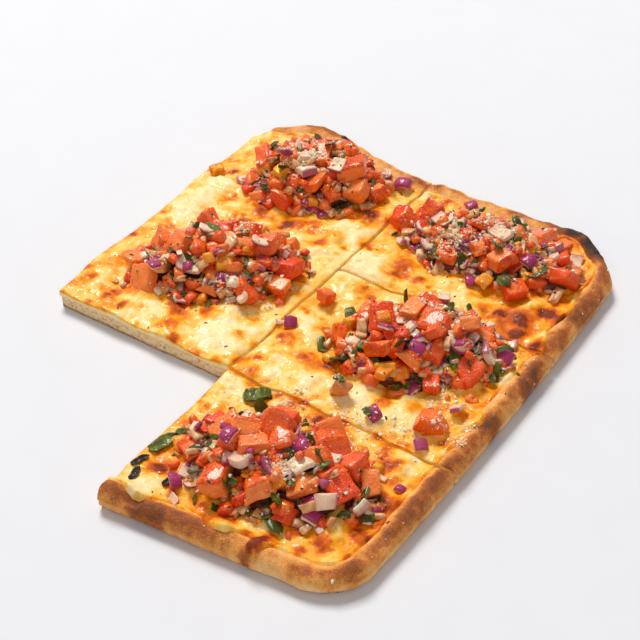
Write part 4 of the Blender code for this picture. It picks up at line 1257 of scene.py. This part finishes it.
def crust_material(look):
    """Baked dough: pale crumb where it was cut, golden to charred crust."""
    material, tree, shader = new_material("baked_crust")
    marks = grained(tree, 260.0, 1500.0)
    # The darkness mask holds the baking, with painted shade on the rim's outer side at the right and the
    # front
    baked = sums(tree, "MULTIPLY_ADD", marks["Mottle"], 0.46, mask(tree, "bake_and_shade"))
    crust = scale_of(
        tree,
        (
            (0.06, look.pale),
            (0.32, look.golden),
            (0.56, look.brown),
            (0.76, darker(look.brown, 0.42)),
            (0.98, look.char),
        ),
        baked,
    )
    height = node(tree, "ShaderNodeSeparateXYZ", {0: object_place(tree)}).outputs["Z"]
    floor_side = spread(tree, height, 0.0002, 0.0022, 1.0, 0.0)
    toasted = sums(tree, "MULTIPLY", floor_side, spread(tree, marks["Mottle"], -0.5, 0.2))
    pores = spread(tree, noise(tree, 420.0, 5.0, 0.7), 0.34, 0.50)
    crumb = blend(tree, spread(tree, marks["Mottle"], -0.3, 0.3), look.pale, look.crumb)
    # The crumb's pores are darkened: painted shade in the holes
    crumb = blend(tree, pores, darker(look.golden, 0.72), crumb)
    crumb = blend(tree, sums(tree, "MULTIPLY", toasted, 0.9), crumb, look.brown)
    ridges = sums(tree, "MULTIPLY", marks["Mottle"], 1.6)
    ridges = sums(tree, "ADD", ridges, sums(tree, "MULTIPLY", pores, mask(tree, "wall")))
    values = {
        "Base Color": blend(tree, mask(tree, "wall"), crust, crumb),
        "Roughness": spread(tree, marks["Wet"], 0.0, 1.0, 0.66, 0.46),
        "Specular IOR Level": 0.35,
        "Normal": relief(tree, ridges, 0.55, 0.0008),
    }
    feed(tree, shader, values)
    soft(tree, shader, 0.08, (0.004, 0.002, 0.001))
    return material


def cheese_material(look):
    """Melted cheese: cream mounds, oily gold between them, toasted blisters."""
    material, tree, shader = new_material("melted_cheese")
    marks = grained(tree, 330.0, 1300.0)
    # The darkness mask holds the baking, with painted shade along the cuts
    baked = sums(tree, "MULTIPLY_ADD", marks["Mottle"], 0.30, mask(tree, "bake_and_shade"))
    colours = (
        (0.06, look.cream),
        (0.28, look.butter),
        (0.50, look.gold),
        (0.74, look.toasted),
        (0.97, look.dark),
    )
    oily = spread(tree, baked, 0.25, 0.50, 0.46, 0.28)
    dry = spread(tree, baked, 0.56, 0.72, 0.0, 0.30)
    shiny = spread(tree, baked, 0.58, 0.74, 0.45, 0.10)
    values = {
        "Base Color": scale_of(tree, colours, baked),
        "Roughness": sums(tree, "ADD", oily, dry),
        "Coat Weight": sums(tree, "MULTIPLY", marks["Wet"], shiny),
        "Coat Roughness": 0.10,
        "Specular IOR Level": 0.22,
        "Normal": relief(tree, sums(tree, "ADD", marks["Mottle"], marks["Pits"]), 0.35, 0.0006),
    }
    feed(tree, shader, values)
    soft(tree, shader, 0.12, (0.003, 0.002, 0.001))
    return material


def topping_material(name, colours, coarse, gloss, depth, glint_strength):
    """A wet diced vegetable: cut flesh of a tone of its own for each piece, with painted highlights on
    small wet spots, and outer skin, darkened with painted shade and juice far inside a heap.
    """
    flesh, other_flesh, skin, deep_skin = colours
    material, tree, shader = new_material(name)
    marks = grained(tree, coarse, coarse * 4.5)
    cut = blend(tree, mask(tree, "tone"), flesh, other_flesh)
    shades = ((0.0, (0.88, 0.66, 0.52)), (0.55, (1.0, 1.0, 1.0)))
    shade = scale_of(tree, shades, spread(tree, marks["Mottle"], -0.5, 0.5))
    cut = blend(tree, 1.0, cut, shade, "MULTIPLY")
    # Small wet spots in the cut flesh are made paler: painted highlights
    speck_glint = tuple(0.45 + 0.55 * part for part in other_flesh)
    cut = blend(tree, sums(tree, "MULTIPLY", marks["Specks"], glint_strength), cut, speck_glint)
    shell = blend(tree, spread(tree, marks["Mottle"], -0.35, 0.35), deep_skin, skin)
    covered = blend(tree, mask(tree, "skin"), cut, shell)
    # Painted shade with juice: pieces far inside a heap are darkened towards the inside colour
    inside = sums(tree, "MULTIPLY", mask(tree, "deep"), 0.92)
    coated = sums(tree, "MAXIMUM", mask(tree, "skin"), marks["Specks"])
    ridges = sums(tree, "ADD", sums(tree, "MULTIPLY", marks["Mottle"], 1.8), marks["Pits"])
    values = {
        "Base Color": blend(tree, inside, covered, INSIDE_SHADE_AND_JUICE, "MULTIPLY"),
        "Roughness": spread(tree, marks["Wet"], 0.0, 1.0, gloss + 0.20, gloss),
        "Coat Weight": spread(tree, coated, 0.0, 1.0, 0.30, 0.44),
        "Coat Roughness": 0.06,
        "Specular IOR Level": 0.26,
        "Normal": relief(tree, ridges, 0.40, 0.0006),
    }
    feed(tree, shader, values)
    soft(tree, shader, depth, (0.0020, 0.0011, 0.0006))
    return material


def sprinkled_material(name, colour, gloss):
    """Grains or flecks: one colour, lighter and darker from grain to grain."""
    material, tree, shader = new_material(name)
    marks = grained(tree, 420.0, 1800.0)
    mottle = spread(tree, marks["Mottle"], -0.4, 0.4)
    values = {
        "Base Color": blend(tree, mottle, darker(colour, 0.88), colour),
        "Roughness": spread(tree, marks["Wet"], 0.0, 1.0, gloss + 0.12, gloss),
    }
    feed(tree, shader, values)
    soft(tree, shader, 0.45, (0.0016, 0.0013, 0.0009))
    return material


def topping_materials(look):
    """The materials of the diced and chopped toppings, by kind, made once."""
    made = {}
    for kind, (shades, *values) in TOPPING_LOOKS.items():
        name = kind + "_pieces"
        if name not in bpy.data.materials:
            topping_material(name, [getattr(look, shade) for shade in shades], *values)
        made[kind] = bpy.data.materials[name]
    return made


class BRUSCHETTA_OT_stage(Operator):
    """Sets up the floor, the lights and the camera"""

    bl_idname = "bruschetta.stage"
    bl_label = "Stage"

    def execute(self, context):
        """Makes the stage."""
        studio = context.scene.bruschetta_studio
        material, tree, shader = new_material("plain_floor")
        marks = grained(tree, 3.0, 40.0)
        shade = spread(tree, marks["Mottle"], -0.6, 0.6)
        plain = blend(tree, shade, darker(studio.floor, 0.97), studio.floor)
        feed(tree, shader, {"Base Color": plain, "Roughness": 0.85})
        bm = bmesh.new()
        bmesh.ops.create_grid(bm, x_segments=2, y_segments=2, size=FLOOR_SIZE)
        mesh = bpy.data.meshes.new("floor")
        bm.to_mesh(mesh)
        bm.free()
        mesh.materials.append(material)
        floor = added("floor", mesh)
        lights = (("key_light", KEY_PLACE, studio.key), ("fill_light", FILL_PLACE, studio.fill))
        for name, where, power in lights:
            light = bpy.data.lights.new(name, "AREA")
            light.energy = power
            light.size = LIGHT_SIZE
            light.color = LIGHT_COLOUR
            lamp = added(name, light)
            lamp.location = where
            lamp.rotation_euler = Vector(where).to_track_quat("Z", "Y").to_euler()
        world = bpy.data.worlds.new("studio_room")
        world.use_nodes = True
        all_round = world.node_tree.nodes["Background"]
        feed(world.node_tree, all_round, {"Color": (1.0, 1.0, 1.0, 1.0), "Strength": studio.sky})
        context.scene.world = world
        context.scene.view_settings.view_transform = "Standard"
        data = bpy.data.cameras.new("camera")
        data.lens = studio.lens
        data.sensor_width = SENSOR_WIDTH
        data.clip_end = CAMERA_REACH
        camera = added("camera", data)
        aim = Vector(CAMERA_AIM) + Vector(SHEET_PLACE)
        camera.location = Vector(CAMERA_PLACE) + Vector(SHEET_PLACE)
        camera.rotation_euler = (aim - camera.location).to_track_quat("-Z", "Y").to_euler()
        context.scene.camera = camera
        return {"FINISHED"}


class BRUSCHETTA_OT_flatbread(Operator):
    """Makes the slices of flatbread"""

    bl_idname = "bruschetta.flatbread"
    bl_label = "Flatbread slices"

    def execute(self, context):
        """Makes one piece for each slice."""
        material = crust_material(context.scene.bruschetta_crust)
        for slice_name in SLICES:
            points, faces, masks = dough_slice(slice_name)
            piece = put("flatbread_" + slice_name, points, faces, masks, material)
            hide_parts("dough_" + slice_name)
        return {"FINISHED"}


class BRUSCHETTA_OT_cheese(Operator):
    """Makes the melted cheese on the slices"""

    bl_idname = "bruschetta.cheese"
    bl_label = "Melted cheese"

    def execute(self, context):
        """Makes one piece for each slice."""
        material = cheese_material(context.scene.bruschetta_cheese)
        for slice_name in SLICES:
            points, faces, masks = cheese_slice(slice_name)
            piece = put("melted_cheese_" + slice_name, points, faces, masks, material)
            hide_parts("cheese_" + slice_name)
        body, faces = block(*LUMP_BLOCK)
        points, skin = loose_piece("cheese_lump", body, trees_of(names_of("melted_cheese")))
        masks = {"bake_and_shade": 0.34 + 0.40 * skin}
        piece = put("crisp_cheese", points, faces.tolist(), masks, material)
        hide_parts("cheese_lump")
        return {"FINISHED"}


def loose_piece(name, body, trees):
    """Points and skin of a single piece beside a heap, turned as its solid, resting on the cheese."""
    kind, middle, size, turn = LOOSE[name]
    number = list(LOOSE).index(name)
    corners = chunk_corners(kind, size, (900, number))
    spin = np.array(Matrix.Rotation(math.radians(turn), 3, "Z"))
    corners = corners @ spin.T
    points, skin = carved(kind, corners, body, np.random.default_rng((901, number)))
    found = fall(trees, *middle)
    ground = found[0] if found else DOUGH + CHEESE
    return points + (*middle, ground - points[:, 2].min() - SUNK_DEPTH), skin


class BRUSCHETTA_OT_mounds(Operator):
    """Makes the wet mounds under the toppings, dark with juice and painted shade"""

    bl_idname = "bruschetta.mounds"
    bl_label = "Mounds"

    def execute(self, context):
        """Makes one piece for each heap."""
        look = context.scene.bruschetta_toppings
        # The mound shows only in the gaps between pieces: its juice colour, and patches at 30 percent of
        # it, are juice with painted shade of the gaps
        dark = darker(look.juice, 0.30)
        material = topping_material("juicy_mound", (dark, look.juice, dark, dark), 420.0, 0.18, 0.05, 0.0)
        for heap_name, heap in HEAPS.items():
            bm = bmesh.new()
            bmesh.ops.create_icosphere(bm, subdivisions=MOUND_DETAIL, radius=1.0)
            q, faces = taken(bm)
            uneven = 1.0 + 0.10 * waves(q[:, 0], q[:, 1], 1.3, heap["seed"])
            spread_out = 0.97 * CORE_SPREAD * uneven
            x, y = heap_point(heap, spread_out * q[:, 0], spread_out * q[:, 1])
            rise = (CHEESE + 0.94 * CORE_SHARE * heap["height"]) * q[:, 2]
            lumps = 0.0024 * rough(x + q[:, 2] * 0.004, y, 0.0050, heap["seed"]) * fade(q[:, 2] * 3.0)
            z = np.maximum(DOUGH + CLEARANCE + rise + lumps, DOUGH)
            masks = {"skin": fade(0.5 + rough(x, y, 0.007, 91)), "tone": np.ones(len(x))}
            points = np.column_stack((x, y, z))
            piece = put("mound_" + heap_name, points, faces, masks, material)
            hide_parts("bruschetta_" + heap_name)
        return {"FINISHED"}


class BRUSCHETTA_OT_diced(Operator):
    """Makes the diced toppings of the heaps and beside them"""

    bl_idname = "bruschetta.diced"
    bl_label = "Diced toppings"

    def execute(self, context):
        """Makes one piece for each kind."""
        batches = {kind: Batch() for kind in SLOTS}
        bodies = {kind: block(*DICED_BLOCKS[kind]) for kind in SLOTS}
        for heap in HEAPS.values():
            for number, (kind, x, y, z, size) in enumerate(pile(heap)):
                corners = chunk_corners(kind, size, (heap["seed"], number))
                rng = np.random.default_rng((heap["seed"], number, 7))
                body, faces = bodies[kind]
                points, skin = carved(kind, corners, body, rng)
                tone = float(fade(rng.uniform(-0.05, 1.05)))
                batches[kind].add(points + (x, y, z), faces, skin, tone)
        replaced = {kind: [] for kind in SLOTS}
        trees = trees_of(names_of("melted_cheese"))
        for name, (kind, _, _, _) in LOOSE.items():
            if kind == "cheese":
                continue
            body, faces = bodies[kind]
            points, skin = loose_piece(name, body, trees)
            batches[kind].add(points, faces, skin, 1.0 if kind == "garlic" else 0.6)
            replaced[kind].append(name)
        materials = topping_materials(context.scene.bruschetta_toppings)
        for kind, batch in batches.items():
            piece = batch.end("diced_" + kind, materials[kind], SLOTS[kind])
            if replaced[kind]:
                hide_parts(*replaced[kind])
        return {"FINISHED"}


class BRUSCHETTA_OT_chopped(Operator):
    """Makes the small chopped bits that fill the heaps"""

    bl_idname = "bruschetta.chopped"
    bl_label = "Chopped bits"

    def execute(self, context):
        """Drops the small pieces listed one by one, then the bits of every heap, kind by kind."""
        settings = context.scene.bruschetta_sprinkling
        standing = names_of("diced", "mound", "melted_cheese")
        trees = trees_of(standing)
        bare = [number for number, name in enumerate(standing) if name.startswith("mound_")]
        batches = {kind: Batch() for kind in SLOTS}
        rng = np.random.default_rng(301)
        body, faces = block(*SMALL_BLOCK)
        for number, (kind, (x, y), size) in enumerate(SMALL_SET):
            height = fall(trees, x, y)[0]
            corners = chunk_corners(kind, size, (302, number))
            points, skin = carved(kind, corners, body, rng)
            lift = height + (0.16 if kind == "basil" else 0.20) * size
            batches[kind].add(points + (x, y, lift), faces, skin, rng.uniform(0.5, 1.0))
        body, faces = block(*BIT_BLOCK)
        kinds = tuple(CHOPPED_SHARES)
        shares = tuple(CHOPPED_SHARES.values())
        for heap in HEAPS.values():
            a0, a1, b0, b1, _ = SLICES[heap["slice"]]
            for number in range(settings.bits):
                kind = rng.choice(kinds, p=shares)
                size = rng.choice((rng.uniform(*SMALL_BITS), rng.uniform(*LARGE_BITS)), p=BIT_SHARES)
                size = size * (LEAF_BIT if kind == "basil" else 1.0)
                lowest = None
                outline = STRAY_OUTLINE if number % STRAY_EVERY == 0 else BIT_OUTLINE
                for _ in range(BIT_TRIES):
                    far, x, y = drop_place(heap, outline, rng)
                    if min(x - a0, a1 - x, y - b0, b1 - y) <= BIT_INWARD:
                        continue
                    found = fall(trees, x, y)
                    if found is None:
                        continue
                    over = found[0] - DOUGH - dome_height(heap, far)
                    if found[2] in bare:
                        over = over - BARE_DRAW
                    if lowest is None or over < lowest[0]:
                        lowest = (over, x, y, found[0])
                if lowest is None:
                    continue
                _, x, y, z = lowest
                corners = chunk_corners(kind, size, (heap["seed"], number, 5))
                points, skin = carved(kind, corners, body, rng)
                batches[kind].add(points + (x, y, z + 0.18 * size), faces, skin, rng.uniform())
        materials = topping_materials(context.scene.bruschetta_toppings)
        for kind, batch in batches.items():
            batch.end("chopped_" + kind, materials[kind], SLOTS[kind])
        return {"FINISHED"}


def leaf_points(name, trees, number):
    """Points, faces and masks of one leaf piece lying on the cheese."""
    (x, y), length, width, turn = LEAVES[name]
    lines = (np.linspace(-0.5, 0.5, count) for count in LEAF_GRID)
    u, v = (plane.ravel() for plane in np.meshgrid(*lines))
    taper = 0.12 + 0.88 * np.sqrt(np.maximum(0.0, 1.0 - (2.0 * np.abs(u + 0.04)) ** 2.2))
    bend = 0.12 * width * np.sin(5.0 * u)
    spin = np.array(Matrix.Rotation(math.radians(turn), 2))
    flat = np.column_stack((u * length, v * width * taper + bend)) @ spin.T + (x, y)
    ground = []
    for place_x, place_y in flat:
        found = fall(trees, place_x, place_y)
        ground.append(found[0] if found else DOUGH)
    ground = np.array(ground)
    ripple = 0.05 * width * np.sin(11.0 * u + 7.0 * v + number)
    ripple = ripple + 0.02 * width * np.sin(23.0 * u + 3.0 * v)
    curl = 0.12 * width * (2.0 * v) ** 2 + 0.04 * width * (1.0 + np.sin(9.0 * u + number)) + ripple
    vein = 0.05 * width * hump(v, 0.0, 0.05)
    top = ground + LEAF_THICKNESS + np.maximum(curl, 0.0) - vein
    upper = np.column_stack((flat, top))
    lower = upper - (0.0, 0.0, 0.75 * LEAF_THICKNESS)
    quads, rim = grid(*LEAF_GRID)
    count = len(upper)
    faces = np.concatenate((quads, quads[:, ::-1] + count, skirt(rim, rim + count)))
    light = fade(1.0 - np.abs(v) * 2.4) * fade(0.6 + 0.5 * np.sin(13.0 * u + number))
    return np.concatenate((upper, lower)), faces, np.concatenate((light, 0.3 * light))


class BRUSCHETTA_OT_leaves(Operator):
    """Makes the leaf pieces that lie beside the front heap"""

    bl_idname = "bruschetta.leaves"
    bl_label = "Leaves"

    def execute(self, context):
        """Makes the green ones, and the charred ones."""
        look = context.scene.bruschetta_toppings
        trees = trees_of(["melted_cheese_right_front", "flatbread_right_front"])
        green = topping_materials(look)["basil"]
        char = context.scene.bruschetta_crust.char
        colours = (char, char, darker(char, 2.2), char)
        burnt = topping_material("charred_leaf", colours, 500.0, 0.42, 0.0, 0.0)
        for number, name in enumerate(LEAVES):
            points, faces, skin = leaf_points(name, trees, number)
            masks = {"skin": skin, "tone": np.ones(len(skin))}
            charred = name.startswith("charred")
            piece = put("leaf_" + name, points, faces.tolist(), masks, burnt if charred else green)
            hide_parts(name)
        return {"FINISHED"}


def sprinkle_tree():
    """Geometry Nodes that set a shape on every point of a mesh, turned and sized at random."""
    tree = bpy.data.node_groups.new("Sprinkle", "GeometryNodeTree")
    inputs = {"Geometry": "Geometry", "Shape": "Object", "Smallest": "Float", "Largest": "Float"}
    inputs.update({"Tilt": "Float", "Seed": "Int", "Finish": "Material"})
    for name, kind in inputs.items():
        tree.interface.new_socket(name, in_out="INPUT", socket_type="NodeSocket" + kind)
    tree.interface.new_socket("Geometry", in_out="OUTPUT", socket_type="NodeSocketGeometry")
    given = tree.nodes.new("NodeGroupInput").outputs
    points = node(tree, "GeometryNodeMeshToPoints", {"Mesh": given["Geometry"]})
    shape = node(tree, "GeometryNodeObjectInfo", {"Object": given["Shape"]})
    low = node(tree, "ShaderNodeMath", {0: given["Tilt"], 1: -1.0}, operation="MULTIPLY").outputs[0]
    least = node(tree, "ShaderNodeCombineXYZ", {"X": low, "Y": low, "Z": -math.pi}).outputs[0]
    tilts = {"X": given["Tilt"], "Y": given["Tilt"], "Z": math.pi}
    most = node(tree, "ShaderNodeCombineXYZ", tilts).outputs[0]
    turn = node(tree, "FunctionNodeRandomValue", data_type="FLOAT_VECTOR")
    size = node(tree, "FunctionNodeRandomValue", data_type="FLOAT")
    for random, first, last in ((turn, least, most), (size, given["Smallest"], given["Largest"])):
        shown = [socket for socket in random.inputs if socket.enabled]
        tree.links.new(first, shown[0])
        tree.links.new(last, shown[1])
        tree.links.new(given["Seed"], random.inputs["Seed"])
    turned = [socket for socket in turn.outputs if socket.enabled][0]
    sized = [socket for socket in size.outputs if socket.enabled][0]
    values = {"Points": points.outputs[0], "Instance": shape.outputs["Geometry"]}
    values.update({"Rotation": turned, "Scale": sized})
    spread_out = node(tree, "GeometryNodeInstanceOnPoints", values)
    real = node(tree, "GeometryNodeRealizeInstances", {"Geometry": spread_out.outputs[0]})
    values = {"Geometry": real.outputs[0], "Material": given["Finish"]}
    dressed = node(tree, "GeometryNodeSetMaterial", values)
    node(tree, "NodeGroupOutput", {0: dressed.outputs[0]})
    return tree


def sprinkle(name, points, shape, sizes, tilt, seed, material):
    """Turns points into a finished piece with the sprinkling nodes."""
    tree = bpy.data.node_groups.get("Sprinkle") or sprinkle_tree()
    mesh = bpy.data.meshes.new(name)
    mesh.from_pydata([tuple(np.array(point) + SHEET_PLACE) for point in points], [], [])
    piece = added(name, mesh)
    modifier = piece.modifiers.new("sprinkle", "NODES")
    modifier.node_group = tree
    values = {"Shape": shape, "Smallest": sizes[0], "Largest": sizes[1]}
    values.update({"Tilt": tilt, "Seed": seed, "Finish": material})
    for item in tree.interface.items_tree:
        if item.in_out == "INPUT" and item.name in values:
            modifier[item.identifier] = values[item.name]
    graph = bpy.context.evaluated_depsgraph_get()
    finished = bpy.data.meshes.new_from_object(piece.evaluated_get(graph))
    piece.modifiers.clear()
    piece.data = finished
    finished.name = name
    bpy.data.meshes.remove(mesh)
    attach(piece, "root")
    return piece


def seedling(name, stretch, seed):
    """A small lumpy shape of a few faces, to be sprinkled."""
    rng = np.random.default_rng(seed)
    bm = bmesh.new()
    bmesh.ops.create_icosphere(bm, subdivisions=1, radius=0.5)
    for vert in bm.verts:
        vert.co = Vector(np.array(vert.co) * stretch * (1.0 + rng.uniform(-0.42, 0.42)))
    mesh = bpy.data.meshes.new(name)
    bm.to_mesh(mesh)
    bm.free()
    return added(name, mesh)


def landed(count, chance, trees, rng, sink):
    """Where grains that fall all over the sheet come to rest."""
    points = []
    tries = 0
    while len(points) < count and tries < GRAIN_TRIES * count:
        tries += 1
        x = rng.uniform(-HALF_W, HALF_W + 0.002)
        y = rng.uniform(-HALF_L - 0.004, HALF_L + 0.004)
        if rng.uniform() > chance(x, y):
            continue
        found = fall(trees, x, y)
        if found and found[0] > LOWEST_GRAIN and found[1] > LEAST_LEVEL:
            points.append((x, y, found[0] + sink))
    return points


def near_heap(x, y, start):
    """How near a plan position is to a heap, from 0 at a start outside its outline to 1."""
    nearest = min(float(heap_share(heap, x, y)) for heap in HEAPS.values())
    return float(fade((start - nearest) / 0.3))


def grating_chance(x, y):
    """How likely grated cheese fell on a plan position."""
    cluster = max(float(mound(x, y, (spot_x, spot_y), reach)) for spot_x, spot_y, reach in GRATINGS)
    return 0.005 + 0.03 * near_heap(x, y, 1.12) + 0.95 * cluster**2


def herb_chance(x, y):
    """How likely a fleck of herbs fell on a plan position."""
    return 0.020 + 0.30 * near_heap(x, y, 1.15)


class BRUSCHETTA_OT_sprinkled(Operator):
    """Sprinkles the grated cheese and the herbs over everything"""

    bl_idname = "bruschetta.sprinkled"
    bl_label = "Grated cheese and herbs"

    def execute(self, context):
        """Drops the grains and the flecks, each kind as one piece."""
        settings = context.scene.bruschetta_sprinkling
        trees = trees_of(names_of("diced", "chopped", "mound", "melted_cheese", "flatbread"))
        rng = np.random.default_rng(401)
        grated = sprinkled_material("grated_cheese", settings.grain_colour, 0.45)
        herbs = sprinkled_material("herb_flecks", settings.fleck_colour, 0.35)
        crumb = seedling("crumb_shape", (1.0, 0.75, 0.6), 5)
        flake = seedling("flake_shape", (1.0, 0.42, 0.14), 6)
        largest = settings.grain_size
        points = landed(settings.grains, grating_chance, trees, rng, 0.0002)
        sizes = (0.12 * largest, 0.40 * largest)
        sprinkle("grated_cheese", points, crumb, sizes, math.pi, 7, grated)
        points = landed(settings.crumbs, grating_chance, trees, rng, 0.0004)
        sizes = (0.40 * largest, largest)
        sprinkle("cheese_crumbs", points, crumb, sizes, math.pi, 9, grated)
        points = landed(settings.flecks, herb_chance, trees, rng, 0.0001)
        sizes = (0.15 * settings.fleck_size, settings.fleck_size)
        sprinkle("herb_flecks", points, flake, sizes, 0.6, 8, herbs)
        for shape in (crumb, flake):
            bpy.data.objects.remove(shape)
        return {"FINISHED"}


class BRUSCHETTA_PT_panel(Panel):
    """Lists what the pizza is made of"""

    bl_idname = "BRUSCHETTA_PT_panel"
    bl_label = "Bruschetta Pizza"
    bl_space_type = "VIEW_3D"
    bl_region_type = "UI"
    bl_category = "Bruschetta Pizza"

    def draw(self, context):
        """Draws a button for each operator and the settings below them."""
        column = self.layout.column()
        for operator in OPERATORS:
            column.operator(operator.bl_idname)
        for name, group in SETTINGS.items():
            box = self.layout.box()
            box.label(text=group.__doc__)
            for setting in group.__annotations__:
                box.prop(getattr(context.scene, name), setting)


OPERATORS = (
    BRUSCHETTA_OT_stage,
    BRUSCHETTA_OT_flatbread,
    BRUSCHETTA_OT_cheese,
    BRUSCHETTA_OT_mounds,
    BRUSCHETTA_OT_diced,
    BRUSCHETTA_OT_chopped,
    BRUSCHETTA_OT_leaves,
    BRUSCHETTA_OT_sprinkled,
)
SETTINGS = {
    "bruschetta_crust": CrustLook,
    "bruschetta_cheese": CheeseLook,
    "bruschetta_toppings": ToppingLook,
    "bruschetta_sprinkling": Sprinkling,
    "bruschetta_studio": Studio,
}


def register():
    """Registers the settings, the operators and the panel."""
    for group in SETTINGS.values():
        bpy.utils.register_class(group)
    for name, group in SETTINGS.items():
        setattr(bpy.types.Scene, name, PointerProperty(type=group))
    for shown in (*OPERATORS, BRUSCHETTA_PT_panel):
        bpy.utils.register_class(shown)


def unregister():
    """Takes them out again."""
    for shown in (BRUSCHETTA_PT_panel, *reversed(OPERATORS)):
        bpy.utils.unregister_class(shown)
    for name, group in SETTINGS.items():
        delattr(bpy.types.Scene, name)
        bpy.utils.unregister_class(group)


def main():
    """Registers the settings and operators, and runs them in order to make the pizza."""
    register()
    for operator in OPERATORS:
        family, name = operator.bl_idname.split(".")
        getattr(getattr(bpy.ops, family), name)()


if __name__ == "__main__":
    main()
